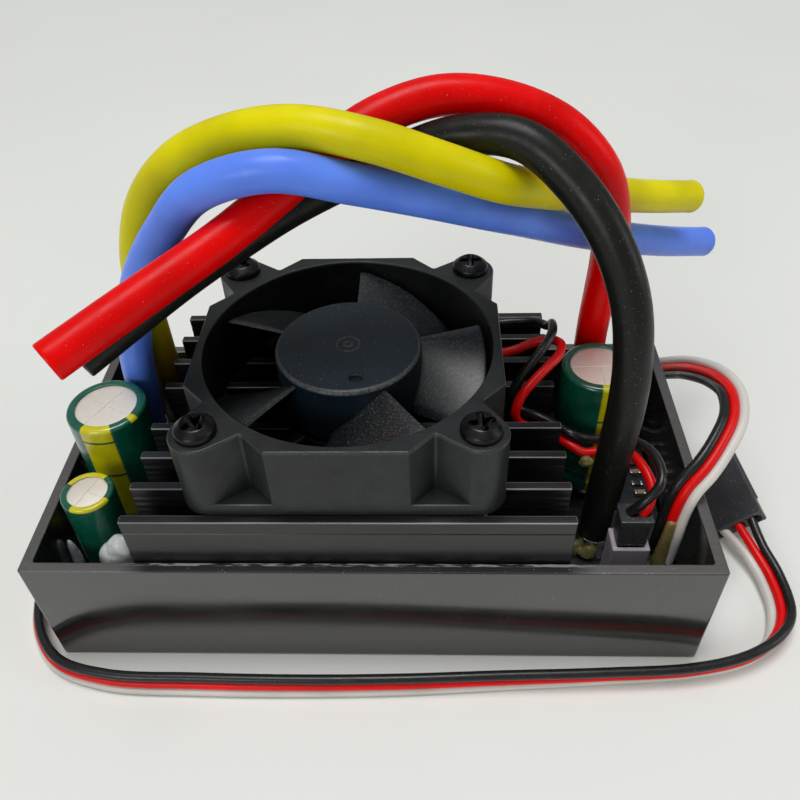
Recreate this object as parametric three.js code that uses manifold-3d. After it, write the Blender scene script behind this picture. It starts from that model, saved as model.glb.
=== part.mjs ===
// Electronic speed controller: an open tray with a circuit board, a finned heatsink and a cooling fan.
// Millimetres, +Z up. X runs along the tray, Y points to its back, and Z is 0 under its floor.
import * as THREE from 'three';
import { mergeVertices } from 'three/addons/utils/BufferGeometryUtils.js';
import Module from 'manifold-3d';

const wasm = await Module();
wasm.setup();

// ---- Driving dimensions ----
const tray = { width: 87, depth: 44, height: 19.2, wall: 1.5, floor: 1.6 };
const board = { width: 83.4, depth: 40.4, bottom: 4.0, thickness: 1.6, screwX: 39.2, screwY: 17.8 };
const mosfet = { width: 5.2, depth: 6.2, height: 1.0, spacingX: 16, rowY: 9 };
const chips = {
  microcontroller: { width: 7, depth: 7, height: 0.9, x: 5, y: 0 },
  gate_driver: { width: 5, depth: 4, height: 0.9, x: -9, y: 0 },
  bec_regulator: { width: 6.5, depth: 6, height: 1.7, x: 24, y: 9 },
};
const shunt = { width: 6.3, depth: 3.2, height: 0.8, x: -26.5, y: -14 };
const pad = { width: 44, depth: 32, thickness: 1.2, screwHole: 2.0 };
const sink = {
  centreX: -2.3, length: 54, baseThickness: 3, top: 26.7,
  finThickness: 1.2, innerFinY: 4.06, finPitch: 5.22, finsPerSide: 4, screwX: 17,
};
// Each screw has the post or notch that it bites into and the clear hole that it passes through.
const boardScrew = {
  head: 1.9, headHeight: 1.3, shank: 0.95, length: 3.2, post: 2.2, pilot: 1.2, clearHole: 1.3,
};
const sinkScrew = { head: 2.2, headHeight: 1.6, shank: 1.15, post: 3, pilot: 1.45, clearHole: 1.45 };
const fanScrew = { head: 2.45, headHeight: 1.6, shank: 1.4, length: 17.5, notch: 1.7, notchDepth: 9 };
const fan = {
  centreX: -2.65, size: 38.6, height: 10.7, cornerRadius: 3.3, bossWrap: 0.42, holeOffset: 16, holeRadius: 1.75,
  flange: 1.8, bore: 18.2, flatHalf: 8, notchX: 10.9, notchY: 16.4, hubPlateRadius: 9.2, hubPlate: 1.2,
  strutWidth: 2.6,
};
// The fan's motor stands on the frame's hub plate, inside the rotor's cup.
const motor = {
  tube: { radius: 2.45, bore: 2.05, boreBottom: 0.6, top: 6.8 },
  shaft: { radius: 0.75, bottom: 0.8, top: 8.0 },
  magnet: { inner: 7.2, outer: 8.3, bottom: 2.8, top: 8.0 },
  core: { radius: 4, bore: 2.65, poleLength: 13, poleWidth: 2.4, bottom: 3.2, top: 6.2 },
  winding: { inner: 3.1, outer: 5.8, bottom: 6.3, top: 7.1 },
  driver: { inner: 2.8, outer: 8.0, bottom: 1.3, top: 1.9 },
  bearing: { inner: 0.95, outer: 1.85, bottom: 0.8, top: 6.6 },
};
const rotor = {
  hubRadius: 9.3, hubInner: 8.5, bottom: 2.1, top: 10.4, edge: 0.7, crown: 1.2,
  bossRadius: 1.8, bossBottom: 7.2, shaftHole: 0.95,
  blades: 5, tipRadius: 17.6, bladeTop: 9.4, bladeBottom: 3.0, bladeThickness: 0.9,
  bladeSpan: 46, firstEdge: 15, bladeLean: 1.5,
};
const bigCap = { radius: 5.25, bottom: 8.0, height: 20.4, legOffset: 2.5, lip: 1.2 };
const smallCap = { radius: 3.35, bottom: 9.0, height: 15.2, legOffset: 1.25, lip: 0.8 };
const capacitors = {
  left_capacitor: { size: bigCap, x: -35.7, y: -1.7 },
  right_capacitor: { size: bigCap, x: 31.1, y: 5.9 },
  small_capacitor: { size: smallCap, x: -35.9, y: -13.2 },
};
const sleeve = { thickness: 0.2, gap: 0.15, edge: 0.3 };
const canGroove = { bottom: 2.0, middle: 2.9, top: 3.8, depth: 0.45 };
const capLeg = { radius: 0.35, sealDrop: 0.4, sealGap: 0.1, sealInset: 0.2 };
const wire = { diameter: 4.5, sides: 10, steps: 26 };
const servo = { width: 3.9, thickness: 1.3, edgeAcross: 0.77, edgeThrough: 0.35, steps: 74 };
const plug = {
  width: 7.9, length: 14, thickness: 2.6, roll: 35, yaw: 5, pitch: 2.54,
  cavity: 1.7, cavityStart: 1.5, window: [1.3, 2.6, 1], windowY: 5.2,
  contact: 1.2, contactLength: 9, contactY: 8.2,
};
const glueBead = [[0, 0], [2.3, 0], [2.1, 1.6], [1.5, 3.4], [0, 3.6]];
const lead = { diameter: 1.3, sides: 8, steps: 36 };
const fanHeader = { x: 33.9, y: -12.9, width: 4.9, depth: 3.8, top: 14.2 };
const fanPlug = { x: 33.9, y: -12.8, width: 4.3, depth: 3.4, top: 19.5 };
const terminal = { radius: 3.2, neck: 2.35, height: 2.8 };
const faceGap = 0.3;

// Heights that follow from the stack of board, transistors, pad and heatsink.
const boardTop = board.bottom + board.thickness;
const padBottom = boardTop + mosfet.height;
const sinkBottom = padBottom + pad.thickness;
const sinkBaseTop = sinkBottom + sink.baseThickness;
const fanBottom = sink.top + 0.1;
const wireStart = boardTop + terminal.height + faceGap;

const terminals = {
  red: [32.0, 15.2],
  black: [31.0, -7.0],
  yellow: [-33.8, 16.3],
  blue: [-36.2, 9.3],
};

// The power wires stand up from the board and cross over the fan, and their cut ends are free.
const wireRoutes = {
  red: [
    [...terminals.red, wireStart], [31.8, 15.4, 13.2], [31.6, 15.4, 20.3], [31.4, 14.9, 27.6],
    [31.3, 13.6, 34.8], [31.0, 11.7, 41.9], [30.3, 9.9, 49.0], [27.9, 8.8, 55.8], [22.9, 9.0, 61.1],
    [16.2, 9.7, 63.9], [9.0, 9.3, 64.8], [2.1, 7.2, 63.5], [-3.9, 3.9, 60.8], [-9.4, 0.1, 57.6],
    [-14.8, -4.2, 55.0], [-20.1, -8.9, 53.2], [-25.4, -13.7, 51.5], [-30.6, -18.5, 49.8],
  ],
  black: [
    [...terminals.black, wireStart], [30.9, -7.5, 13.2], [30.9, -8.1, 19.9], [30.9, -8.6, 27.1],
    [31.0, -8.8, 34.3], [30.7, -8.3, 41.4], [29.6, -6.5, 48.3], [27.0, -3.6, 54.3], [23.0, 0.0, 59.0],
    [17.6, 3.5, 62.2], [11.0, 5.8, 61.7], [4.3, 6.5, 59.2], [-2.3, 5.9, 56.5], [-8.7, 3.6, 54.2],
    [-14.5, -0.1, 52.1], [-19.9, -4.4, 50.2], [-25.0, -9.1, 48.2], [-29.9, -14.0, 46.3],
  ],
  yellow: [
    [...terminals.yellow, wireStart], [-33.7, 16.1, 11.0], [-33.0, 14.5, 14.9], [-32.2, 12.4, 21.6],
    [-31.6, 10.6, 29.6], [-31.0, 9.4, 37.8], [-29.7, 8.6, 45.8], [-26.5, 7.5, 53.3],
    [-21.1, 5.7, 59.3], [-14.2, 3.4, 63.2], [-6.5, 1.2, 65.1], [1.5, -0.5, 64.3], [9.2, -0.2, 61.4],
    [15.8, 2.7, 57.6], [21.3, 7.7, 54.0], [26.6, 13.0, 50.7], [32.5, 18.0, 47.6], [38.8, 22.5, 44.8],
    [45.4, 26.9, 42.3],
  ],
  blue: [
    [...terminals.blue, wireStart], [-36.1, 9.2, 11.0], [-35.4, 8.6, 15.4], [-34.3, 7.3, 22.5],
    [-32.9, 5.7, 30.9], [-30.6, 3.9, 38.9], [-27.2, 2.1, 46.6], [-22.5, 0.1, 53.5],
    [-16.8, -2.0, 59.7], [-8.7, -2.8, 62.2], [-0.5, -1.2, 59.8], [6.8, 1.8, 56.5], [13.6, 5.6, 52.7],
    [19.8, 9.9, 48.8], [25.8, 14.5, 44.7], [31.9, 19.1, 40.8], [38.1, 23.8, 37.2], [44.6, 28.4, 33.9],
    [51.2, 33.1, 30.9],
  ],
};

// The servo lead is flat. Each row is a point on its middle core, then the way from its black core to its
// white one. It climbs out of the tray, loops down behind it and lies on the table round to the front.
const servoRoute = [
  [[38.8, -12.4, 9.6], [0.75, -0.6, -0.1]], [[39.2, -11.9, 13.4], [0.75, -0.6, -0.2]],
  [[39.6, -11.2, 17.6], [0.75, -0.5, -0.3]], [[40.6, -10.3, 21.1], [0.75, -0.5, -0.35]],
  [[43.0, -8.5, 23.2], [0.75, -0.45, -0.45]], [[45.5, -5.5, 24.7], [0.8, -0.4, -0.4]],
  [[47.6, -2.0, 25.9], [0.95, -0.2, -0.2]], [[48.6, 2.6, 26.0], [1.0, 0.1, 0.1]],
  [[48.4, 7.8, 24.3], [0.7, 0.5, 0.5]], [[47.6, 14.5, 20.2], [0.4, 0.6, 0.6]],
  [[47.0, 21.0, 14.9], [0.3, 0.7, 0.6]],
  [[44.6, 26.6, 9.4], [0.2, 0.9, 0.4]], [[39.0, 29.6, 5.0], [0.1, 1.0, 0.2]],
  [[31.0, 30.4, 2.0], [0, 1, 0.1]], [[21.0, 29.8, 0.85], [0, 1, 0]],
  [[7.0, 28.6, 0.85], [0, 1, 0]], [[-8.0, 28.2, 0.85], [0, 1, 0]],
  [[-23.0, 28.8, 0.85], [0, 1, 0]], [[-37.0, 28.6, 1.1], [-0.1, 1, -0.1]],
  [[-46.5, 25.0, 2.0], [-0.5, 0.7, -0.5]], [[-51.2, 17.5, 2.35], [-0.5, 0.1, -0.85]],
  [[-52.2, 7.5, 2.35], [-0.4, 0, -0.9]], [[-51.6, -3.5, 2.35], [-0.4, 0, -0.9]],
  [[-49.4, -13.0, 2.1], [-0.4, 0, -0.9]], [[-47.2, -19.7, 2.05], [-0.35, 0, -0.9]],
  [[-43.0, -24.6, 2.0], [-0.25, 0, -0.95]], [[-35.6, -27.0, 2.0], [0, -0.15, -0.98]],
  [[-23.0, -27.5, 1.95], [0, -0.2, -0.98]], [[-9.7, -27.6, 1.95], [0, -0.15, -0.98]],
  [[3.5, -27.3, 1.95], [0, -0.1, -0.98]], [[16.7, -26.6, 1.95], [0, 0, -1]],
  [[30.0, -25.9, 1.95], [0, 0.15, -0.98]], [[42.3, -25.0, 2.0], [0, 0.2, -0.97]],
  [[49.8, -23.1, 2.1], [-0.15, 0.1, -0.97]], [[54.0, -20.2, 2.1], [-0.5, 0, -0.85]],
  [[56.3, -16.0, 1.9], [-0.85, 0, -0.5]], [[56.4, -10.4, 2.1], [-0.85, 0, -0.45]],
  [[55.1, -6.0, 2.9], [-0.82, 0, -0.55]], [[54.03, -2.6, 3.4], [-0.82, 0, -0.57]],
];
const plugStart = new THREE.Vector3(54.0, -2.3, 3.4);

// The fan's two thin leads loop on the fin tops, dip into the middle channel and end in the fan's plug.
const fanLeadRoutes = {
  red: [
    [17.0, 8.6, 28.2], [19.6, 9.1, 28.5], [22.2, 9.6, 29.4], [24.4, 9.3, 30.2], [25.7, 7.8, 30.6],
    [25.2, 5.7, 30.4], [23.6, 3.8, 30.0], [21.7, 1.9, 29.3], [19.9, 0.2, 27.9], [19.1, -0.7, 25.6],
    [19.9, -0.4, 23.4], [21.9, -0.2, 22.1], [24.4, -1.0, 21.8], [26.4, -3.1, 22.0], [28.2, -4.2, 21.6],
    [31.0, -4.1, 21.8], [33.8, -5.2, 22.6], [35.2, -8.2, 22.9], [35.9, -11.0, 22.0], [35.4, -12.5, 20.6],
    [35.1, -12.7, 19.8],
  ],
  black: [
    [17.0, 15.5, 28.3], [19.9, 15.5, 28.6], [22.9, 14.7, 29.2], [24.5, 12.7, 30.0], [24.7, 10.9, 31.8],
    [24.4, 8.4, 32.2], [23.3, 6.3, 31.6], [21.8, 4.5, 30.6], [20.0, 2.9, 28.9], [18.9, 2.0, 26.6],
    [19.6, 1.5, 24.6], [21.8, 1.2, 23.6], [24.3, -0.3, 23.3], [26.7, -2.6, 23.4], [29.0, -2.7, 22.6],
    [31.8, -2.6, 22.6], [34.6, -3.8, 23.4], [36.6, -7.4, 24.2], [36.6, -11.4, 23.6], [34.4, -12.9, 21.4],
    [33.5, -12.7, 19.8],
  ],
};

// ---- Materials ----
function paint(color, roughness, metalness = 0) {
  return new THREE.MeshStandardMaterial({ color, roughness, metalness });
}

const materials = {
  trayPlastic: paint(0x2b2b2a, 0.4),
  boardMask: paint(0x0d0f10, 0.5),
  chip: paint(0x1a1a1b, 0.6),
  anodised: paint(0x1c1c1d, 0.45, 0.8),
  fanPlastic: paint(0x2c2d2d, 0.6),
  rotorPlastic: paint(0x1d2023, 0.55),
  steel: paint(0x9a9c9e, 0.35, 1),
  blackScrew: paint(0x141414, 0.35, 0.9),
  aluminium: paint(0xd0cbc4, 0.5, 1),
  capSleeve: paint(0x0d5a40, 0.4),
  rubber: paint(0x111111, 0.8),
  solder: paint(0xc8c9cb, 0.3, 1),
  silicone: {
    red: paint(0xe0150f, 0.4),
    black: paint(0x1c1d1a, 0.4),
    yellow: paint(0xd0c400, 0.4),
    blue: paint(0x3f5fd0, 0.4),
  },
  servoJacket: paint(0xc21a1c, 0.5),
  connector: paint(0x26272a, 0.45),
  header: paint(0xd8d2d8, 0.5),
  padGrey: paint(0x8a8f98, 0.8),
  magnet: paint(0x3a3a3c, 0.7),
  copper: paint(0xb06a3a, 0.4, 1),
  bronze: paint(0xa9803c, 0.5, 1),
  glue: paint(0xc9bd7a, 0.4),
  tin: paint(0xb8b8b8, 0.35, 1),
};

// ---- Geometry helpers ----

// Shared vertices merged and faces turned outward, so that the mesh is one closed body.
function closed(geometry) {
  const bare = geometry.clone();
  bare.deleteAttribute('normal');
  bare.deleteAttribute('uv');
  const merged = mergeVertices(bare, 1e-5);
  const positions = merged.getAttribute('position');
  const index = merged.getIndex().array;
  const kept = [];
  const a = new THREE.Vector3();
  const b = new THREE.Vector3();
  const c = new THREE.Vector3();
  let volume = 0;
  for (let i = 0; i < index.length; i += 3) {
    const [p, q, r] = [index[i], index[i + 1], index[i + 2]];
    if (p === q || q === r || r === p) continue;
    a.fromBufferAttribute(positions, p);
    b.fromBufferAttribute(positions, q);
    c.fromBufferAttribute(positions, r);
    volume += a.dot(b.cross(c));
    kept.push(p, q, r);
  }
  if (volume < 0) kept.reverse();
  merged.setIndex(kept);
  return merged;
}

function toSolid(geometry) {
  const mesh = closed(geometry);
  const vertProperties = new Float32Array(mesh.getAttribute('position').array);
  const triVerts = new Uint32Array(mesh.getIndex().array);
  return new wasm.Manifold(new wasm.Mesh({ numProp: 3, vertProperties, triVerts }));
}

function toGeometry(solid) {
  const { vertProperties, triVerts, numProp } = solid.getMesh();
  const geometry = new THREE.BufferGeometry();
  const positions = [];
  for (let i = 0; i < vertProperties.length; i += numProp) {
    positions.push(vertProperties[i], vertProperties[i + 1], vertProperties[i + 2]);
  }
  geometry.setAttribute('position', new THREE.Float32BufferAttribute(positions, 3));
  geometry.setIndex(Array.from(triVerts));
  return geometry;
}

const join = (...pieces) => toGeometry(pieces.map(toSolid).reduce((sum, piece) => sum.add(piece)));
const cut = (piece, cutters) => {
  return toGeometry(cutters.map(toSolid).reduce((left, cutter) => left.subtract(cutter), toSolid(piece)));
};

// A box by its centre in X and Y and its lowest and highest Z.
function box(width, depth, bottom, top, x = 0, y = 0) {
  return new THREE.BoxGeometry(width, depth, top - bottom).translate(x, y, (bottom + top) / 2);
}

// An upright cylinder by its lowest and highest Z.
function post(radius, bottom, top, x = 0, y = 0, segments = 16) {
  const geometry = new THREE.CylinderGeometry(radius, radius, top - bottom, segments);
  return geometry.rotateX(Math.PI / 2).translate(x, y, (bottom + top) / 2);
}

// A turned solid from [radius, z] points that start and end on the axis, or that close on themselves.
function turned(profile, segments = 28) {
  const points = profile.map(([radius, z]) => new THREE.Vector2(radius, z));
  return closed(new THREE.LatheGeometry(points, segments).rotateX(Math.PI / 2));
}

function ring({ inner, outer, bottom, top }, segments = 28) {
  return turned([[inner, bottom], [outer, bottom], [outer, top], [inner, top], [inner, bottom]], segments);
}

function tube(points, diameter, sides, steps) {
  const section = new THREE.Shape();
  section.absarc(0, 0, diameter / 2, 0, 2 * Math.PI);
  const route = points.map((point) => new THREE.Vector3(...point));
  const extrudePath = new THREE.CatmullRomCurve3(route, false, 'centripetal');
  return closed(new THREE.ExtrudeGeometry(section, { steps, extrudePath, curveSegments: sides / 2 }));
}

// A skin of four-sided cells over rows of points. Each row is a closed loop with as many
// points going out as coming back, and both ends are capped by strips between the two.
function loft(rows) {
  const around = rows[0].length;
  const index = [];
  for (let row = 0; row < rows.length - 1; row += 1) {
    for (let i = 0; i < around; i += 1) {
      const next = (i + 1) % around;
      const [a, b] = [row * around + i, row * around + next];
      index.push(a, b, b + around, a, b + around, a + around);
    }
  }
  const last = (rows.length - 1) * around;
  for (let i = 0; i < around / 2 - 1; i += 1) {
    const [a, b, c, d] = [i, i + 1, around - 2 - i, around - 1 - i];
    index.push(a, c, b, a, d, c, last + a, last + b, last + c, last + a, last + c, last + d);
  }
  const geometry = new THREE.BufferGeometry();
  const positions = rows.flat().flatMap((point) => point.toArray());
  geometry.setAttribute('position', new THREE.Float32BufferAttribute(positions, 3));
  geometry.setIndex(index);
  return closed(geometry);
}

const group = new THREE.Group();

function add(name, geometry, material, parent = group) {
  const mesh = new THREE.Mesh(closed(geometry), material);
  mesh.name = name;
  parent.add(mesh);
  return mesh;
}

const corners = (x, y) => [[-x, -y], [x, -y], [-x, y], [x, y]];
const boardScrewSpots = corners(board.screwX, board.screwY);
const sinkScrewSpots = [-1, 1].map((side) => [sink.centreX + side * sink.screwX, 0]);
const fanScrewSpots = corners(fan.holeOffset, fan.holeOffset);

// Upright cylinders of one radius at several places, for posts and holes.
const postsAt = (spots, radius, bottom, top) => spots.map(([x, y]) => post(radius, bottom, top, x, y));

// ---- Tray: open at the top, with a post under each board screw and each heatsink screw ----
function makeTray() {
  const inner = box(tray.width - 2 * tray.wall, tray.depth - 2 * tray.wall, tray.floor, tray.height + 1);
  const shell = cut(box(tray.width, tray.depth, 0, tray.height), [inner]);
  const rooted = tray.floor / 2;
  const posts = [
    ...postsAt(boardScrewSpots, boardScrew.post, rooted, board.bottom),
    ...postsAt(sinkScrewSpots, sinkScrew.post, rooted, board.bottom),
  ];
  const holes = [
    ...postsAt(boardScrewSpots, boardScrew.pilot, tray.floor, boardTop),
    ...postsAt(sinkScrewSpots, sinkScrew.pilot, tray.floor, boardTop),
  ];
  add('tray', cut(join(shell, ...posts), holes), materials.trayPlastic);
}

// A pan-head screw with a cross recess: its head rests on z = 0 and its shank goes down.
function panHeadScrew({ head, headHeight, shank }, length, segments = 12) {
  const body = turned([
    [0, headHeight], [head * 0.7, headHeight * 0.9], [head, headHeight * 0.4],
    [head, 0], [shank, 0], [shank, -length], [0, -length],
  ], segments);
  const [slotLength, slotWidth, slotBottom] = [head * 1.1, head * 0.24, headHeight * 0.4];
  const recess = [
    box(slotLength, slotWidth, slotBottom, headHeight + 1),
    box(slotWidth, slotLength, slotBottom, headHeight + 1),
  ];
  return cut(body, recess);
}

function addScrews(name, screw, length, spots, top, parent = group) {
  spots.forEach(([x, y], i) => {
    const mesh = add(`${name}_${i + 1}`, panHeadScrew(screw, length), materials.blackScrew, parent);
    mesh.position.set(x, y, top);
  });
}

// ---- Circuit board with its screws, chips and transistors ----
function makeBoard() {
  const plate = box(board.width, board.depth, board.bottom, boardTop);
  const holes = [
    ...postsAt(boardScrewSpots, boardScrew.clearHole, 0, boardTop + 1),
    ...postsAt(sinkScrewSpots, sinkScrew.clearHole, 0, boardTop + 1),
  ];
  add('circuit_board', cut(plate, holes), materials.boardMask);
  addScrews('board_screw', boardScrew, boardScrew.length, boardScrewSpots, boardTop);
  let count = 0;
  for (const row of [-1, 1]) {
    for (const column of [-1, 0, 1]) {
      count += 1;
      const [x, y] = [sink.centreX + column * mosfet.spacingX, row * mosfet.rowY];
      add(`mosfet_${count}`, box(mosfet.width, mosfet.depth, boardTop, padBottom, x, y), materials.chip);
    }
  }
  const onBoard = ({ width, depth, height, x, y }) => box(width, depth, boardTop, boardTop + height, x, y);
  for (const [name, chip] of Object.entries(chips)) add(name, onBoard(chip), materials.chip);
  add('current_shunt', onBoard(shunt), materials.tin);
  const padPlate = box(pad.width, pad.depth, padBottom, sinkBottom, sink.centreX, 0);
  const padHoles = postsAt(sinkScrewSpots, pad.screwHole, 0, sinkBottom + 1);
  add('thermal_pad', cut(padPlate, padHoles), materials.padGrey);
}

// ---- Heatsink: a base with upright fins along X, notched where the fan screws bite ----
function makeHeatsink() {
  const finYs = [];
  for (let i = 0; i < sink.finsPerSide; i += 1) {
    finYs.push(sink.innerFinY + i * sink.finPitch);
    finYs.push(-sink.innerFinY - i * sink.finPitch);
  }
  finYs.sort((a, b) => a - b);
  const half = sink.finThickness / 2;
  const outer = finYs[finYs.length - 1] + half;
  const profile = new THREE.Shape();
  profile.moveTo(-outer, sinkBottom);
  profile.lineTo(outer, sinkBottom);
  for (const y of [...finYs].reverse()) {
    if (y + half < outer) profile.lineTo(y + half, sinkBaseTop);
    profile.lineTo(y + half, sink.top);
    profile.lineTo(y - half, sink.top);
    if (y - half > -outer) profile.lineTo(y - half, sinkBaseTop);
  }
  profile.closePath();
  const bar = new THREE.ExtrudeGeometry(profile, { depth: sink.length, bevelEnabled: false });
  bar.rotateX(Math.PI / 2).rotateZ(Math.PI / 2).translate(sink.centreX - sink.length / 2, 0, 0);
  const notchSpots = fanScrewSpots.map(([x, y]) => [fan.centreX + x, y]);
  const cutters = [
    ...postsAt(notchSpots, fanScrew.notch, sink.top - fanScrew.notchDepth, sink.top + 1),
    ...postsAt(sinkScrewSpots, sinkScrew.clearHole, 0, sinkBaseTop + 1),
  ];
  add('heatsink', cut(bar, cutters), materials.anodised);
  const screwLength = sinkBaseTop - tray.floor - faceGap;
  addScrews('heatsink_screw', sinkScrew, screwLength, sinkScrewSpots, sinkBaseTop);
}

// ---- Fan: frame, motor and impeller, in a frame of its own with z = 0 under its flange ----
function roundedSquare(size, radius) {
  const half = size / 2;
  const reach = half - radius;
  const shape = new THREE.Shape();
  shape.absarc(reach, reach, radius, 0, Math.PI / 2);
  shape.absarc(-reach, reach, radius, Math.PI / 2, Math.PI);
  shape.absarc(-reach, -reach, radius, Math.PI, 1.5 * Math.PI);
  shape.absarc(reach, -reach, radius, 1.5 * Math.PI, 2 * Math.PI);
  return shape;
}

// The outline above the flange: a flat in the middle of each side, a notch beside it and a round corner boss.
function notchedSquare() {
  const half = fan.size / 2;
  const shape = new THREE.Shape();
  const turn = (x, y, quarter) => {
    const angle = quarter * Math.PI / 2;
    return [x * Math.cos(angle) - y * Math.sin(angle), x * Math.sin(angle) + y * Math.cos(angle)];
  };
  for (let quarter = 0; quarter < 4; quarter += 1) {
    const flatEnd = turn(half, fan.flatHalf, quarter);
    const nextFlat = turn(fan.flatHalf, half, quarter);
    const boss = turn(fan.holeOffset, fan.holeOffset, quarter);
    const start = quarter * Math.PI / 2;
    if (quarter === 0) shape.moveTo(...flatEnd);
    else shape.lineTo(...flatEnd);
    shape.lineTo(...turn(fan.notchY, fan.notchX, quarter));
    shape.absarc(...boss, fan.cornerRadius, start - fan.bossWrap, start + Math.PI / 2 + fan.bossWrap);
    shape.lineTo(...turn(fan.notchX, fan.notchY, quarter));
    shape.lineTo(...nextFlat);
  }
  shape.closePath();
  return shape;
}

function slab(shape, bottom, top, curveSegments = 6) {
  const settings = { depth: top - bottom, bevelEnabled: false, curveSegments };
  return new THREE.ExtrudeGeometry(shape, settings).translate(0, 0, bottom);
}

function makeFanFrame(fanGroup) {
  const flange = slab(roundedSquare(fan.size, fan.cornerRadius), 0, fan.flange);
  const duct = slab(notchedSquare(), fan.flange / 2, fan.height);
  const holes = postsAt(fanScrewSpots, fan.holeRadius, -1, fan.height + 1);
  const outer = cut(join(flange, duct), [post(fan.bore, -1, fan.height + 1, 0, 0, 48), ...holes]);
  const struts = [45, 135].map((degrees) => {
    const strut = box(2 * fan.bore + 1, fan.strutWidth, 0, fan.hubPlate);
    return strut.rotateZ(THREE.MathUtils.degToRad(degrees));
  });
  const hubPlate = post(fan.hubPlateRadius, 0, fan.hubPlate, 0, 0, 36);
  const bearingTube = post(motor.tube.radius, 0, motor.tube.top, 0, 0, 20);
  const bearingBore = post(motor.tube.bore, motor.tube.boreBottom, motor.tube.top + 1, 0, 0, 20);
  const frame = cut(join(outer, hubPlate, ...struts, bearingTube), [bearingBore]);
  add('fan_frame', frame, materials.fanPlastic, fanGroup);
}

// One blade: its upper edge leads, and it comes down clockwise as seen from above.
function blade() {
  const spanSteps = 5;
  const radialSteps = 3;
  const rows = [];
  for (let i = 0; i <= radialSteps; i += 1) {
    const radius = THREE.MathUtils.lerp(rotor.hubRadius - 0.5, rotor.tipRadius, i / radialSteps);
    const lean = rotor.bladeLean * (i / radialSteps);
    const upper = [];
    const lower = [];
    for (let j = 0; j <= spanSteps; j += 1) {
      const along = j / spanSteps;
      const angle = THREE.MathUtils.degToRad(rotor.firstEdge + lean - rotor.bladeSpan * along);
      const height = THREE.MathUtils.lerp(rotor.bladeTop, rotor.bladeBottom, along);
      const half = rotor.bladeThickness / 2;
      const [x, y] = [radius * Math.cos(angle), radius * Math.sin(angle)];
      upper.push(new THREE.Vector3(x, y, height + half));
      lower.unshift(new THREE.Vector3(x, y, height - half));
    }
    rows.push([...upper, ...lower]);
  }
  return loft(rows);
}

function makeRotor(fanGroup) {
  const { hubRadius, hubInner, bottom, top, edge, crown, bossRadius, bossBottom, shaftHole } = rotor;
  const hub = turned([
    [0, top], [hubRadius - edge, top], [hubRadius - edge * 0.3, top - edge * 0.3], [hubRadius, top - edge],
    [hubRadius, bottom], [hubInner, bottom], [hubInner, top - crown],
    [bossRadius, top - crown], [bossRadius, bossBottom],
    [shaftHole, bossBottom], [shaftHole, bossBottom + 1], [0, bossBottom + 1],
  ], 36);
  const blades = [];
  for (let i = 0; i < rotor.blades; i += 1) {
    blades.push(blade().rotateZ(2 * Math.PI * i / rotor.blades));
  }
  add('fan_rotor', join(hub, ...blades), materials.rotorPlastic, fanGroup);
  const { shaft, magnet } = motor;
  add('fan_shaft', post(shaft.radius, shaft.bottom, shaft.top, 0, 0, 16), materials.steel, fanGroup);
  add('fan_magnet_ring', ring(magnet, 32), materials.magnet, fanGroup);
}

function makeFanMotor(fanGroup) {
  const { radius, bore, poleLength, poleWidth, bottom, top } = motor.core;
  const poles = [0, 90].map((degrees) => {
    return box(poleLength, poleWidth, bottom, top).rotateZ(THREE.MathUtils.degToRad(degrees));
  });
  const middle = post(radius, bottom, top, 0, 0, 24);
  const core = cut(join(middle, ...poles), [post(bore, bottom - 1, top + 1, 0, 0, 20)]);
  add('fan_stator_core', core, materials.steel, fanGroup);
  add('fan_winding', ring(motor.winding, 24), materials.copper, fanGroup);
  add('fan_driver_board', ring(motor.driver), materials.boardMask, fanGroup);
  add('fan_bearing', ring(motor.bearing, 20), materials.bronze, fanGroup);
}

function makeFan() {
  const fanGroup = new THREE.Group();
  fanGroup.position.set(fan.centreX, 0, fanBottom);
  group.add(fanGroup);
  makeFanFrame(fanGroup);
  makeFanMotor(fanGroup);
  makeRotor(fanGroup);
  addScrews('fan_screw', fanScrew, fanScrew.length, fanScrewSpots, fan.height, fanGroup);
}

// ---- Electrolytic capacitors: a can in a plastic sleeve, standing on a rubber seal and two legs ----
function makeCapacitor(name, { size, x, y }) {
  const capGroup = new THREE.Group();
  capGroup.position.set(x, y, 0);
  group.add(capGroup);
  const { radius, bottom, height, lip } = size;
  const top = bottom + height;
  const { thickness, gap, edge } = sleeve;
  const inner = radius - thickness;
  const mouth = radius - lip;
  add(`${name}_sleeve`, turned([
    [mouth, bottom], [radius, bottom], [radius, top - edge], [radius - edge, top], [mouth, top],
    [mouth, top - thickness], [inner, top - thickness], [inner, bottom + thickness],
    [mouth, bottom + thickness], [mouth, bottom],
  ], 24), materials.capSleeve, capGroup);
  const can = inner - gap;
  const canBottom = bottom + thickness + gap;
  const canTop = top - thickness - gap;
  add(`${name}_can`, turned([
    [0, canBottom], [can, canBottom], [can, bottom + canGroove.bottom],
    [can - canGroove.depth, bottom + canGroove.middle], [can, bottom + canGroove.top],
    [can, canTop], [0, canTop],
  ], 24), materials.aluminium, capGroup);
  const sealRadius = mouth - capLeg.sealInset;
  const seal = post(sealRadius, bottom - capLeg.sealDrop, canBottom - capLeg.sealGap, 0, 0, 24);
  const legs = [-1, 1].map((side) => post(capLeg.radius, boardTop, bottom, 0, side * size.legOffset, 10));
  add(`${name}_seal`, join(seal, ...legs), materials.rubber, capGroup);
}

// ---- Power wires and the solder that holds each one ----
function makePowerWires() {
  for (const [colour, route] of Object.entries(wireRoutes)) {
    const { radius, neck, height } = terminal;
    const mound = turned([
      [0, 0], [radius, 0], [radius * 0.95, height * 0.3], [neck * 1.1, height * 0.75], [neck, height],
      [0, height],
    ], 20);
    add(`${colour}_terminal`, mound, materials.solder).position.set(...terminals[colour], boardTop);
    const jacket = tube(route, wire.diameter, wire.sides, wire.steps);
    add(`${colour}_power_wire`, jacket, materials.silicone[colour]);
  }
}

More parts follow.
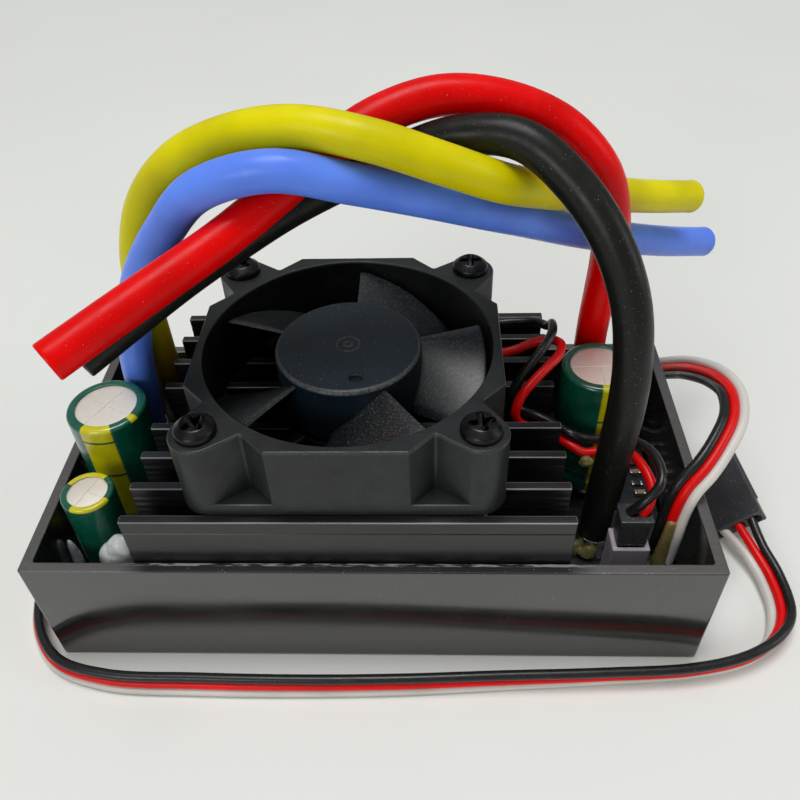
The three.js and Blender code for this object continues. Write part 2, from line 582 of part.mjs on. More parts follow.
// ---- Servo lead, its glue bead on the board and its plug ----
function makeServoLead() {
  const [[glueX, glueY]] = servoRoute[0];
  add('servo_lead_glue', turned(glueBead, 20), materials.glue).position.set(glueX, glueY, boardTop);

  const centres = new THREE.CatmullRomCurve3(servoRoute.map(([point]) => new THREE.Vector3(...point)));
  const sides = new THREE.CatmullRomCurve3(servoRoute.map(([, side]) => new THREE.Vector3(...side)));
  const { edgeAcross, edgeThrough } = servo;
  const outline = [
    [-1, edgeThrough], [-edgeAcross, 1], [edgeAcross, 1], [1, edgeThrough],
    [1, -edgeThrough], [edgeAcross, -1], [-edgeAcross, -1], [-1, -edgeThrough],
  ];
  const rows = [];
  for (let i = 0; i <= servo.steps; i += 1) {
    const t = i / servo.steps;
    const centre = centres.getPoint(t);
    const tangent = centres.getTangent(t);
    const side = sides.getPoint(t);
    side.addScaledVector(tangent, -side.dot(tangent)).normalize();
    const normal = new THREE.Vector3().crossVectors(tangent, side);
    side.multiplyScalar(servo.width / 2);
    normal.multiplyScalar(servo.thickness / 2);
    rows.push(outline.map(([across, through]) => {
      return centre.clone().addScaledVector(side, across).addScaledVector(normal, through);
    }));
  }
  add('servo_lead', loft(rows), materials.servoJacket);
}

// The plug's own frame: X across its three contacts, Y along it from the wires, Z through its thickness.
function makeServoPlug() {
  const plugGroup = new THREE.Group();
  plugGroup.position.copy(plugStart);
  const [roll, yaw] = [plug.roll, plug.yaw].map(THREE.MathUtils.degToRad);
  plugGroup.rotation.set(0, -roll, yaw, 'ZYX');
  group.add(plugGroup);
  const block = (width, length, thickness, x, y, z = 0) => {
    return new THREE.BoxGeometry(width, length, thickness).translate(x, y, z);
  };
  const across = [-1, 0, 1].map((slot) => slot * plug.pitch);
  const body = block(plug.width, plug.length, plug.thickness, 0, plug.length / 2);
  const cavityY = plug.length / 2 + plug.cavityStart;
  const cavities = across.map((x) => block(plug.cavity, plug.length, plug.cavity, x, cavityY));
  const windows = across.map((x) => block(...plug.window, x, plug.windowY, -plug.thickness / 2));
  add('servo_plug', cut(body, [...cavities, ...windows]), materials.connector, plugGroup);
  across.forEach((x, i) => {
    const contact = block(plug.contact, plug.contactLength, plug.contact, x, plug.contactY);
    add(`servo_contact_${i + 1}`, contact, materials.tin, plugGroup);
  });
}

// ---- Fan leads, their plug and the header it sits on ----
function makeFanLeads() {
  for (const [colour, route] of Object.entries(fanLeadRoutes)) {
    const jacket = tube(route, lead.diameter, lead.sides, lead.steps);
    add(`fan_lead_${colour}`, jacket, materials.silicone[colour]);
  }
  const upright = ({ x, y, width, depth, top }, bottom) => box(width, depth, bottom, top, x, y);
  add('fan_header', upright(fanHeader, boardTop), materials.header);
  add('fan_plug', upright(fanPlug, fanHeader.top), materials.connector);
}

makeTray();
makeBoard();
makeHeatsink();
makeFan();
for (const [name, capacitor] of Object.entries(capacitors)) makeCapacitor(name, capacitor);
makePowerWires();
makeServoLead();
makeServoPlug();
makeFanLeads();

export default group;
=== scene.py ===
"""The looks of an electronic speed controller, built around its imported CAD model, in millimetres."""
import math
import random

import bmesh
import bpy
import numpy as np
from mathutils import Matrix, Vector
from mathutils.geometry import tessellate_polygon


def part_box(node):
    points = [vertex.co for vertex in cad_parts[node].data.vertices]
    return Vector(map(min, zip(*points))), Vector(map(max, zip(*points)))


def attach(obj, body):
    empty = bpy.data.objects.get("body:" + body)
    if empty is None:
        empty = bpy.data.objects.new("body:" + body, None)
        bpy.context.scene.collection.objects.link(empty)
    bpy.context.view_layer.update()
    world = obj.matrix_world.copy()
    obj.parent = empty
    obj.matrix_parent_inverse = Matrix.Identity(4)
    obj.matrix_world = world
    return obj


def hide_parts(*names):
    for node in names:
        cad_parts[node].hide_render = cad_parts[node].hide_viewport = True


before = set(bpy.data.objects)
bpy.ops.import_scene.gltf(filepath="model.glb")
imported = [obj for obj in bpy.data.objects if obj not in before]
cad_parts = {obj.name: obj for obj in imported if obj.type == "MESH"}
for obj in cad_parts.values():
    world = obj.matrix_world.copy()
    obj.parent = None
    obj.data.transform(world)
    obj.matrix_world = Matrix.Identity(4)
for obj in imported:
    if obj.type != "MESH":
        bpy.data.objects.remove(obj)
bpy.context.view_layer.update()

MM = 0.001
TURN = 2 * math.pi
TRAY_WALL = 1.5
TRAY_FLOOR = 1.6
TRAY_CORNER = 0.45
bpy.context.scene.view_settings.view_transform = "Standard"


# ---- Camera ----
CAMERA_SPOT = (7.68, -78.69, 100.44)
CAMERA_YAW = 2.945
CAMERA_PITCH = 42.818
CAMERA_ROLL = -2.25


def make_camera():
    data = bpy.data.cameras.new("camera")
    data.lens = 36
    data.sensor_width = 36
    data.clip_start = 0.005
    camera = bpy.data.objects.new("camera", data)
    bpy.context.scene.collection.objects.link(camera)
    turn = Matrix.Rotation(math.radians(CAMERA_YAW), 4, "Z")
    tilt = Matrix.Rotation(math.radians(90 - CAMERA_PITCH), 4, "X")
    roll = Matrix.Rotation(math.radians(CAMERA_ROLL), 4, "Z")
    camera.matrix_world = Matrix.Translation(Vector(CAMERA_SPOT) * MM) @ turn @ tilt @ roll
    bpy.context.scene.camera = camera


make_camera()


# ---- Flat outlines ----
def unit(vectors):
    """A vector, or each row of an array, at a length of 1."""
    return vectors / np.linalg.norm(vectors, axis=-1, keepdims=True)


def arc(centre, radius, start, end, count):
    angles = np.linspace(start, end, count)
    return [(centre[0] + radius * math.cos(a), centre[1] + radius * math.sin(a)) for a in angles]


def circle(radius, centre=(0, 0), count=48):
    """An anticlockwise loop."""
    return np.array(arc(centre, radius, 0, TURN, count + 1)[:-1])


def hole(radius, centre=(0, 0)):
    """A clockwise loop, for an opening."""
    return circle(radius, centre, 32)[::-1]


def filleted(corners, closed=True, steps=5):
    """A line through corners (x, y, radius), each rounded to its radius."""
    points = []
    last = len(corners) - 1
    for i, (x, y, radius) in enumerate(corners):
        here = np.array([x, y], float)
        if radius == 0 or (not closed and i in (0, last)):
            points.append(tuple(here))
            continue
        back = np.array(corners[i - 1][:2]) - here
        ahead = np.array(corners[(i + 1) % len(corners)][:2]) - here
        longest = 0.49 * min(np.linalg.norm(back), np.linalg.norm(ahead))
        back, ahead = unit(back), unit(ahead)
        half = math.acos(np.clip(back @ ahead, -1, 1)) / 2
        if half > math.radians(89):
            points.append(tuple(here))
            continue
        reach = min(radius / math.tan(half), longest)
        centre = here + unit(back + ahead) * reach / math.cos(half)
        start, end = here + back * reach - centre, here + ahead * reach - centre
        sweep_angle = math.pi - 2 * half
        for k in range(steps + 1):
            share = k / steps
            mixed = math.sin((1 - share) * sweep_angle) * start + math.sin(share * sweep_angle) * end
            points.append(tuple(centre + mixed / math.sin(sweep_angle)))
    return np.array(points)


def rounded_rect(width, depth, radius, centre=(0, 0), steps=5):
    x, y = width / 2, depth / 2
    loop = filleted([(x, -y, radius), (x, y, radius), (-x, y, radius), (-x, -y, radius)], steps=steps)
    return loop + np.array(centre)


def inset(loop, amount):
    """A loop moved to its left, where the material is."""
    ahead = unit(np.roll(loop, -1, axis=0) - loop)
    left = np.stack([-ahead[:, 1], ahead[:, 0]], axis=1)
    both = left + np.roll(left, 1, axis=0)
    reach = np.maximum(np.sum(both * left, axis=1, keepdims=True), 0.4)
    return loop + amount * both / reach


# ---- Solids, each as (points, faces) ----
def faces_between(rings):
    """The faces that join each ring of point numbers to the next."""
    faces = []
    for low, high in zip(rings, rings[1:]):
        for i in range(len(low)):
            j = (i + 1) % len(low)
            faces.append(list(dict.fromkeys([low[i], low[j], high[j], high[i]])))
    return faces


def plate(loops, levels):
    """A solid from an outer loop and the loops of its holes. Each level is (height, inset), lowest first."""
    points, faces, bottoms, tops = [], [], [], []
    for loop in loops:
        rings = []
        for height, amount in levels:
            rings.append(list(range(len(points), len(points) + len(loop))))
            points.extend((x, y, height) for x, y in inset(loop, amount))
        faces.extend(faces_between(rings))
        bottoms.append(rings[0])
        tops.append(rings[-1])
    for rings in (bottoms, tops):
        order = [i for ring in rings for i in ring]
        flat = [[Vector((points[i][0], points[i][1], 0)) for i in ring] for ring in rings]
        faces.extend([order[i] for i in triangle] for triangle in tessellate_polygon(flat))
    return np.array(points, float), faces


def lathe(profile, segments=64):
    """A turned solid. Its (radius, height) profile starts and ends on the axis, or closes on itself."""
    points, rings = [], []
    for radius, height in profile:
        start = len(points)
        if radius < 1e-6:
            points.append((0, 0, height))
            rings.append([start] * segments)
        else:
            points.extend((x, y, height) for x, y in circle(radius, count=segments))
            rings.append(list(range(start, start + segments)))
    if profile[0][0] > 0:
        rings.append(rings[0])
    return np.array(points, float), faces_between(rings)


def at_height(loop, height):
    return np.column_stack([loop, np.full(len(loop), height)])


def loft(rows):
    """A solid over rows of points, with a cap on each end."""
    rows = np.array(rows, float)
    count, around = rows.shape[:2]
    rings = [list(range(row * around, (row + 1) * around)) for row in range(count)]
    return rows.reshape(-1, 3), [rings[0], rings[-1], *faces_between(rings)]


def along_x(solid):
    """A solid drawn in Y and Z and extruded upward, laid so that its height runs along X."""
    points, faces = solid
    return points[:, [2, 0, 1]], faces


def along_y(solid):
    """A solid drawn in X and Z and extruded upward, laid so that its height runs along Y."""
    points, faces = solid
    return points[:, [0, 2, 1]], faces


def moved(solid, *, by=(0, 0, 0), turned=0.0):
    """A solid turned about Z by an angle in degrees, and then moved."""
    points, faces = solid
    c, s = math.cos(math.radians(turned)), math.sin(math.radians(turned))
    spin = np.array([[c, -s, 0], [s, c, 0], [0, 0, 1]])
    return points @ spin.T + np.array(by, float), faces


def crossed(solid, turned):
    """A solid turned about Z, and another across it."""
    return [moved(solid, turned=turned), moved(solid, turned=turned + 90)]


def block(size, centre=(0, 0, 0), edge=0.1, steps=3):
    """A block with rounded upright corners and softened ends."""
    low, high = centre[2] - size[2] / 2, centre[2] + size[2] / 2
    loop = rounded_rect(size[0], size[1], edge, centre[:2], steps)
    levels = [(low, edge), (low + edge * 0.3, edge * 0.3), (low + edge, 0)]
    levels += [(high - edge, 0), (high - edge * 0.3, edge * 0.3), (high, edge)]
    return plate([loop], levels)


# ---- Routes ----
def spline(points, per_span=12):
    """Points on the centripetal Catmull-Rom curve through a route."""
    points = np.array(points, float)
    ends = [2 * points[0] - points[1], 2 * points[-1] - points[-2]]
    knots = np.vstack([ends[:1], points, ends[1:]])
    made = []
    for i in range(1, len(knots) - 2):
        a, b, c, d = knots[i - 1:i + 3]
        before, here, after = [np.linalg.norm(q - p) ** 0.5 for p, q in ((a, b), (b, c), (c, d))]
        # A repeated value has no length of its own, so it takes its neighbour's.
        here = here if here > 0.01 else 1.0
        before, after = [length if length > 0.01 else here for length in (before, after)]
        leave = ((b - a) / before - (c - a) / (before + here) + (c - b) / here) * here
        arrive = ((c - b) / here - (d - b) / (here + after) + (d - c) / after) * here
        for t in np.arange(per_span) / per_span:
            cubic = 2 * b - 2 * c + leave + arrive
            square = -3 * b + 3 * c - 2 * leave - arrive
            made.append(b + leave * t + square * t * t + cubic * t ** 3)
    made.append(points[-1])
    return np.array(made)


def distances(path):
    """How far along a path each of its points is."""
    return np.concatenate([[0], np.cumsum(np.linalg.norm(np.diff(path, axis=0), axis=1))])


def spaced(path, step):
    """A path's points at equal distances of about one step."""
    lengths = distances(path)
    marks = np.linspace(0, lengths[-1], max(2, round(lengths[-1] / step)) + 1)
    return np.stack([np.interp(marks, lengths, path[:, k]) for k in range(3)], axis=1)


def path_length(path):
    return float(distances(path)[-1])


def frames_along(path):
    """A tangent, a side and a normal at each point, carried along the path without twist."""
    tangents = unit(np.gradient(path, axis=0))
    steep = abs(tangents[0][2]) >= 0.9
    normal = np.array([0.0, 1.0, 0.0]) if steep else np.array([0.0, 0.0, 1.0])
    found = []
    for tangent in tangents:
        normal = unit(normal - (normal @ tangent) * tangent)
        found.append((tangent, np.cross(tangent, normal), normal))
    return found


def tube(path, radius, sides=24, start=((0, 1),), end=((0, 1),)):
    """A round tube. start and end shape its ends with (distance, share of the radius) rings."""
    found = frames_along(path)
    angles = np.arange(sides) * TURN / sides

    def ring(index, distance, share):
        tangent, side, normal = found[index]
        outward = np.outer(np.cos(angles), side) + np.outer(np.sin(angles), normal)
        return path[index] + tangent * distance + outward * radius * share

    rows = [ring(0, distance, share) for distance, share in start]
    rows += [ring(i, 0, 1) for i in range(1, len(path) - 1)]
    rows += [ring(len(path) - 1, distance, share) for distance, share in end]
    return loft(rows)


# ---- Pieces ----
def in_mm(node):
    low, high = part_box(node)
    return np.array(low) / MM, np.array(high) / MM


def middle_of(node):
    low, high = in_mm(node)
    return (low + high) / 2


def above(node, height):
    """The spot at a height on the upright line through a CAD node's middle."""
    middle = middle_of(node)
    return (middle[0], middle[1], height)


def make_object(name, solids, materials):
    """One object from (solid, material index) pairs."""
    points, faces, kinds = [], [], []
    for (solid_points, solid_faces), kind in solids:
        start = len(points)
        points.extend(map(tuple, solid_points * MM))
        faces.extend([start + i for i in face] for face in solid_faces)
        kinds.extend([kind] * len(solid_faces))
    mesh = bpy.data.meshes.new(name)
    mesh.from_pydata(points, [], faces)
    mesh.polygons.foreach_set("material_index", kinds)
    for material in materials:
        mesh.materials.append(material)
    turning = bmesh.new()
    turning.from_mesh(mesh)
    bmesh.ops.recalc_face_normals(turning, faces=turning.faces)
    turning.to_mesh(mesh)
    turning.free()
    made = bpy.data.objects.new(name, mesh)
    bpy.context.scene.collection.objects.link(made)
    return made


def apply_modifiers(target):
    bpy.context.view_layer.update()
    shaped = target.evaluated_get(bpy.context.evaluated_depsgraph_get())
    mesh = bpy.data.meshes.new_from_object(shaped)
    target.modifiers.clear()
    target.data = mesh


def combine(target, operation, solids):
    """Joins solids to an object, or cuts them out of it."""
    for solid in solids:
        tool = make_object("tool", [(solid, 0)], target.data.materials[:1])
        change = target.modifiers.new("change", "BOOLEAN")
        change.operation = operation
        change.solver = "EXACT"
        change.object = tool
        apply_modifiers(target)
        bpy.data.objects.remove(tool)
    return target


def finish_piece(made, body, nodes=(), sharp=32):
    """Smooths the faces up to an angle, and ties the piece to its body and CAD nodes."""
    made.data.polygons.foreach_set("use_smooth", [True] * len(made.data.polygons))
    made.data.set_sharp_from_angle(angle=math.radians(sharp))
    even = made.modifiers.new("even_normals", "WEIGHTED_NORMAL")
    even.keep_sharp = True
    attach(made, body)
    if nodes:
        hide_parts(*nodes)
    return made


def piece(name, solids, material, nodes=(), *, slot=None, body="case", join=(), cut=(), spot=(0, 0, 0),
          sharp=32):
    """A finished piece of one material, with its own origin at a spot. The slot argument is not used.
    """
    made = make_object(name, [(solid, 0) for solid in solids], [MATERIALS[material]])
    combine(made, "UNION", join)
    combine(made, "DIFFERENCE", cut)
    made.location = Vector(spot) * MM
    return finish_piece(made, body, nodes, sharp)


# ---- Materials ----
MATERIALS = {}


class Look:
    """A node material around one Principled shader, with textures in millimetres of the piece's own space."""

    def __init__(self, name, roughness, **values):
        self.material = MATERIALS[name] = bpy.data.materials.new(name)
        self.material.use_nodes = True
        self.tree = self.material.node_tree
        self.shader = self.tree.nodes["Principled BSDF"]
        for key, value in {"Roughness": roughness, **values}.items():
            self.shader.inputs[key.replace("_", " ")].default_value = value
        coords = self.tree.nodes.new("ShaderNodeTexCoord").outputs["Object"]
        self.spot = self.scaled(coords, (1 / MM,) * 3)

    def node(self, kind, inputs, **settings):
        made = self.tree.nodes.new("ShaderNode" + kind)
        for key, value in settings.items():
            setattr(made, key, value)
        for key, value in inputs.items():
            if isinstance(value, bpy.types.NodeSocket):
                self.tree.links.new(value, made.inputs[key])
            else:
                made.inputs[key].default_value = value
        return made

    def scaled(self, vector, scale):
        return self.node("VectorMath", {0: vector, 1: scale}, operation="MULTIPLY").outputs[0]

    def noise(self, size, detail=2.0, stretch=(1, 1, 1)):
        """A noise of about 0 to 1 whose features are size millimetres wide, longer along a stretched axis."""
        vector = self.scaled(self.spot, tuple(1 / (size * s) for s in stretch))
        return self.node("TexNoise", {"Vector": vector, "Scale": 1.0, "Detail": detail}).outputs["Fac"]

    def spread(self, value, low, high, out_low=0.0, out_high=1.0):
        """A value's range from low to high carried to another range, and held at its ends."""
        inputs = {0: value, 1: low, 2: high, 3: out_low, 4: out_high}
        return self.node("MapRange", inputs, clamp=True).outputs[0]

    def cloud(self, size, low, high, out_low=0.0, out_high=1.0, detail=3, stretch=(1, 1, 1)):
        """A noise with its range from low to high carried to another range."""
        return self.spread(self.noise(size, detail, stretch), low, high, out_low, out_high)

    def maths(self, operation, first, second=0.5):
        return self.node("Math", {0: first, 1: second}, operation=operation).outputs[0]

    def both(self, first, second):
        return self.maths("MULTIPLY", first, second)

    def mix(self, share, first, second):
        """One colour fading into another, through the Mix node's colour sockets 6 and 7."""
        first, second = [(*c, 1) if isinstance(c, tuple) else c for c in (first, second)]
        return self.node("Mix", {"Factor": share, 6: first, 7: second}, data_type="RGBA").outputs[2]

    def axis(self, letter):
        return self.node("SeparateXYZ", {0: self.spot}).outputs[letter.upper()]

    def band(self, value, low, high, soft):
        """1 where a value is between low and high, fading over a soft distance outside them."""
        return self.both(self.spread(value, low - soft, low), self.spread(value, high, high + soft, 1, 0))

    def specks(self, base, pale, size, low, high, most, detail=0):
        """A base colour with pale specks where a noise rises from low to high."""
        return self.mix(self.cloud(size, low, high, 0, most, detail), base, pale)

    def painted_edge_highlight(self, base, pale, levels, soft, least, most):
        """A base colour with pale patches painted between two levels of Z, as a highlight along an edge."""
        edge = self.band(self.axis("z"), *levels, soft)
        return self.mix(self.both(edge, self.cloud(0.3, 0.35, 0.6, least, most)), base, pale)

    def drive(self, socket, value):
        self.tree.links.new(value, self.shader.inputs[socket])

    def colour(self, value):
        self.drive("Base Color", value)

    def gloss(self, size, low, high, detail=3, stretch=(1, 1, 1)):
        """A roughness that drifts between two values."""
        self.drive("Roughness", self.cloud(size, 0.3, 0.7, low, high, detail, stretch))

    def bump(self, *layers):
        """Surface relief from (height, strength, depth in millimetres) layers."""
        normal = None
        for height, strength, depth in layers:
            inputs = {"Height": height, "Strength": strength, "Distance": depth * MM}
            if normal is not None:
                inputs["Normal"] = normal
            normal = self.node("Bump", inputs).outputs[0]
        self.drive("Normal", normal)


def shade(colour, share):
    return tuple(min(1.0, channel * share) for channel in colour)


def moulded(name, colour, roughness, *, grain=0.25, relief=0.012, dust=0.5, highlight_band=None, shade_radius=None, **values):
    """Moulded plastic with fine grain, faint flow marks and dust specks.

    The highlight band is the band of Z where a pale edge is painted in patches as a highlight, and the shade
    radius is the radius about Z inside which the colour is painted far darker, as painted shade.
    """
    look = Look(name, roughness, **values)
    base = look.mix(look.cloud(7, 0.35, 0.65, detail=4), shade(colour, 0.82), shade(colour, 1.2))
    if highlight_band:
        # A pale edge painted in patches, as a highlight.
        base = look.painted_edge_highlight(base, shade(colour, 3.5), highlight_band, 0.04, 0.25, 1)
    # Inside a radius about Z the colour is painted far darker, as painted shade.
    if shade_radius:
        flat = look.scaled(look.spot, (1, 1, 0))
        reach = look.node("VectorMath", {0: flat}, operation="LENGTH").outputs["Value"]
        base = look.mix(look.spread(reach, shade_radius, shade_radius + 0.1, 1, 0), base, shade(colour, 0.2))
    look.colour(look.specks(base, (0.35, 0.36, 0.36), 0.22, 0.755, 0.79, dust))
    look.gloss(2.5, roughness - 0.07, roughness + 0.09)
    look.bump((look.noise(grain, detail=3), 0.7, relief), (look.noise(4, detail=1), 0.35, 0.03))


def silicone(name, colour, *, roughness=0.34, dust=0.25, lift=1.15, foot=None, **values):
    """Soft rubbery wire jacket with faint waves and lint. Below the height foot it is painted darker,
    orange-brown and then nearly black, as painted shade.
    """
    look = Look(name, roughness, **values)
    base = look.mix(look.cloud(9, 0.35, 0.65, detail=2), shade(colour, 0.9), shade(colour, lift))
    if foot:
        # The jacket is painted orange-brown and then nearly black toward its lower end, as painted shade.
        painted_shade_tint = (colour[0] * 0.6, colour[1] * 0.38, colour[2] * 0.4)
        for low, high, tone in ((foot - 9, foot, painted_shade_tint), (foot - 17, foot - 9, shade(colour, 0.05))):
            base = look.mix(look.spread(look.axis("z"), low, high, 1, 0), base, tone)
    look.colour(look.specks(base, (0.7, 0.7, 0.68), 0.16, 0.74, 0.78, dust, detail=1))
    look.gloss(1.6, roughness - 0.06, roughness + 0.08)
    look.bump((look.noise(2.2, detail=1), 0.3, 0.05), (look.noise(0.2, detail=1), 0.35, 0.006))


def metal(name, colour, roughness, *, stretch=(1, 1, 1), relief=0.004, stain=0.75, patchy=1.0, **values):
    """Bare metal with fine scratches along a stretched axis and duller patches."""
    look = Look(name, roughness, Metallic=1.0, **values)
    base = look.mix(look.cloud(1.4, 0.35, 0.7, detail=4), colour, shade(colour, stain))
    scratches = look.noise(0.09, detail=3, stretch=stretch)
    look.colour(look.mix(look.spread(scratches, 0.55, 0.8, 0, 0.35 * patchy), base, shade(colour, 0.6)))
    look.gloss(0.8, roughness - 0.08 * patchy, roughness + 0.12 * patchy)
    look.bump((scratches, 0.5, relief), (look.noise(1.5), 0.3 * patchy, 0.02))


def tray_look():
    """Black plastic, polished on its walls and paler where its rim was cut."""
    low, high = in_mm("tray")
    front, top = low[1], high[2]
    look = Look("tray_plastic", 0.15, IOR=1.9)
    black = look.mix(look.cloud(12, 0.35, 0.65), (0.012, 0.013, 0.012), (0.018, 0.019, 0.018))
    rim = look.spread(look.axis("z"), top - 0.16, top - 0.06)
    streaks = look.noise(0.5, detail=4, stretch=(9, 1, 1))
    cut_edge = look.mix(look.spread(streaks, 0.3, 0.7), (0.035, 0.031, 0.029), (0.055, 0.048, 0.045))
    # The front rim is dark along the heatsink, and a pale ragged streak is painted along its inner edge there
    # as a highlight.
    across = look.axis("y")
    beside_sink = look.band(look.axis("x"), -27, 24, 4)
    dark = look.both(look.spread(across, front + TRAY_WALL, front + TRAY_WALL + 1, 1, 0), beside_sink)
    black = look.mix(look.both(rim, look.maths("SUBTRACT", 1.0, dark)), black, cut_edge)
    inner_edge = look.band(across, front + 1.05, front + TRAY_WALL + 0.1, 0.12)
    ragged = look.cloud(0.35, 0.42, 0.56, stretch=(6, 1, 1))
    # The pale grey streak on the inner edge beside the heatsink is a painted highlight.
    painted_highlight_streak = look.both(look.both(inner_edge, beside_sink), look.both(ragged, rim))
    black = look.specks(black, (0.4, 0.4, 0.4), 0.25, 0.77, 0.8, 0.3)
    look.colour(look.mix(painted_highlight_streak, black, (0.3, 0.32, 0.34)))
    smears = look.cloud(5, 0.3, 0.7, 0.1, 0.19, detail=4, stretch=(3, 1, 1))
    look.drive("Roughness", look.node("Mix", {"Factor": rim, 2: smears, 3: 0.45}).outputs[0])
    look.drive("Specular IOR Level", look.spread(look.both(dark, rim), 0, 1, 0.5, 0.12))
    look.bump((look.noise(0.3), 0.2, 0.002), (streaks, 0.15, 0.004))


def board_look():
    """Black solder mask with faint traces under it."""
    look = Look("board_mask", 0.3, Specular_IOR_Level=0.6)
    cells = look.node("TexVoronoi", {"Vector": look.spot, "Scale": 0.45}, distance="CHEBYCHEV")
    traces = look.spread(cells.outputs["Distance"], 0.32, 0.36)
    base = look.mix(traces, (0.006, 0.008, 0.009), (0.012, 0.015, 0.017))
    look.colour(look.mix(look.both(look.cloud(0.8, 0.4, 0.6), 0.35), base, (0.02, 0.024, 0.026)))
    look.gloss(3, 0.24, 0.38, detail=2)
    look.bump((traces, 0.5, 0.02), (look.noise(0.3), 0.2, 0.004))


def anodised_look():
    """Black anodised aluminium with drawing lines along its fins, and pale patches painted along the fin
    crests as a highlight.
    """
    top = in_mm("heatsink")[1][2]
    look = Look("black_anodised", 0.3, IOR=1.55)
    lines = look.noise(0.12, detail=3, stretch=(40, 1, 1))
    base = look.mix(look.spread(lines, 0.3, 0.7), (0.004, 0.004, 0.0045), (0.011, 0.0112, 0.011))
    # A pale band in patches, painted along the fin crests as a highlight.
    crest_highlight = look.band(look.axis("z"), top - 0.15, top - 0.04, 0.03)
    patchy = look.cloud(1.2, 0.3, 0.6, 0.4, 1, stretch=(12, 1, 1))
    look.colour(look.mix(look.both(crest_highlight, patchy), base, (0.24, 0.24, 0.245)))
    look.gloss(2.5, 0.26, 0.4, stretch=(6, 1, 1))
    look.bump((lines, 0.5, 0.01), (look.noise(0.2), 0.2, 0.004))


def rotor_look(name, colour, roughness, painted_glint, highlight_band=None, **values):
    """Glass-filled black plastic whose tiny grains are raised a little and painted pale in patches, as
    painted glints. The highlight band is the band of Z where a pale edge is painted in patches, as a
    highlight.
    """
    look = Look(name, roughness, **values)
    base = look.mix(look.cloud(5, 0.35, 0.65), shade(colour, 0.85), shade(colour, 1.2))
    grains = look.noise(0.17, detail=1)
    # Pale grains painted into the colour, as painted glints.
    base = look.mix(look.spread(grains, 0.56, 0.7, 0, painted_glint), base, (0.22, 0.25, 0.25))
    base = look.specks(base, (0.3, 0.32, 0.32), 0.25, 0.82, 0.84, 0.3)
    # A pale edge painted in patches, as a highlight.
    if highlight_band:
        base = look.painted_edge_highlight(base, (0.09, 0.09, 0.09), highlight_band, 0.06, 0.2, 0.8)
    look.colour(base)
    look.gloss(0.15, roughness - 0.05, roughness + 0.07, detail=2)
    look.bump((grains, 0.1 + painted_glint, 0.01), (look.noise(2.5), 0.15, 0.02))


def sleeve_look(name, height, stripe_angle, stripe_half, breaks, rim_patches):
    """Green shrink sleeve with a yellow stripe that thin green lines cross, and yellow patches on its rim.

    Angles are in degrees about the can, and breaks are the heights of the lines.
    """
    look = Look(name, 0.24, Specular_IOR_Level=0.6, Coat_Weight=0.35, Coat_Roughness=0.12)
    angle = look.maths("ARCTAN2", look.axis("y"), look.axis("x"))
    z = look.axis("z")

    def wedge(middle, half, soft=1.2):
        off = look.maths("PINGPONG", look.maths("SUBTRACT", angle, math.radians(middle)), math.pi)
        return look.spread(off, math.radians(half - soft), math.radians(half + soft), 1, 0)

    stripe = wedge(stripe_angle, stripe_half)
    for level in breaks:
        off = look.maths("ABSOLUTE", look.maths("SUBTRACT", z, level))
        stripe = look.both(stripe, look.spread(off, 0.13, 0.2))
    for middle, half in rim_patches:
        on_rim = look.spread(z, height - 0.55, height - 0.45)
        stripe = look.maths("MAXIMUM", stripe, look.both(wedge(middle, half), on_rim))
    cloud = look.cloud(2.5, 0.3, 0.7)
    green = look.mix(cloud, (0.002, 0.07, 0.04), (0.004, 0.115, 0.065))
    yellow = look.mix(cloud, (0.53, 0.48, 0.0), (0.68, 0.61, 0.004))
    look.colour(look.mix(stripe, green, yellow))
    look.gloss(1.5, 0.18, 0.32, detail=2)
    look.bump((look.noise(3), 0.3, 0.08), (stripe, 0.2, 0.01))


def glue_look(name, colour, roughness=0.2, clear=0.5):
    """Hot-melt glue: cloudy, more or less clear and glossy, with small bubbles."""
    look = Look(name, roughness, Transmission_Weight=clear, IOR=1.46, Specular_IOR_Level=0.6)
    bubbles = look.cloud(0.3, 0.7, 0.78, 0, 0.6, detail=1)
    base = look.mix(look.cloud(1.6, 0.35, 0.7), shade(colour, 0.7), colour)
    look.colour(look.mix(bubbles, base, shade(colour, 1.4)))
    look.gloss(0.8, roughness * 0.6, roughness * 1.7)
    look.bump((look.noise(2.2, detail=1), 0.25, 0.12), (bubbles, 0.15, 0.01))


tray_look()
board_look()
anodised_look()
moulded("fan_plastic", (0.0105, 0.0135, 0.013), 0.42, grain=0.2, relief=0.02, dust=0.07,
        highlight_band=(10.4, 10.6), shade_radius=18.25, Specular_IOR_Level=0.4)
rotor_look("hub_plastic", (0.004, 0.011, 0.018), 0.42, 0.04, highlight_band=(9.95, 10.3), Specular_IOR_Level=0.38)
rotor_look("blade_plastic", (0.003, 0.0045, 0.0055), 0.36, 0.3, Specular_IOR_Level=0.65)
moulded("chip_resin", (0.018, 0.018, 0.019), 0.5, grain=0.12, relief=0.01, dust=0.2)
moulded("connector_plastic", (0.038, 0.039, 0.042), 0.38, grain=0.3, relief=0.008, dust=0.4)
moulded("header_plastic", (0.62, 0.56, 0.62), 0.4, grain=0.3, dust=0.1)
moulded("magnet", (0.035, 0.035, 0.038), 0.6, grain=0.15, relief=0.015, dust=0.2)
moulded("seal_rubber", (0.012, 0.012, 0.012), 0.7, grain=0.2, dust=0.1)
moulded("thermal_pad", (0.22, 0.25, 0.29), 0.75, grain=0.3, relief=0.03, dust=0.1)
moulded("ceramic", (0.33, 0.22, 0.13), 0.45, grain=0.1, dust=0.1)
metal("black_screw", (0.035, 0.034, 0.036), 0.34, relief=0.003)
metal("steel", (0.5, 0.5, 0.52), 0.28, stretch=(1, 1, 12))
metal("laminated_steel", (0.32, 0.32, 0.33), 0.4, stretch=(30, 30, 1), relief=0.03)
metal("bronze", (0.42, 0.28, 0.11), 0.45, relief=0.01)
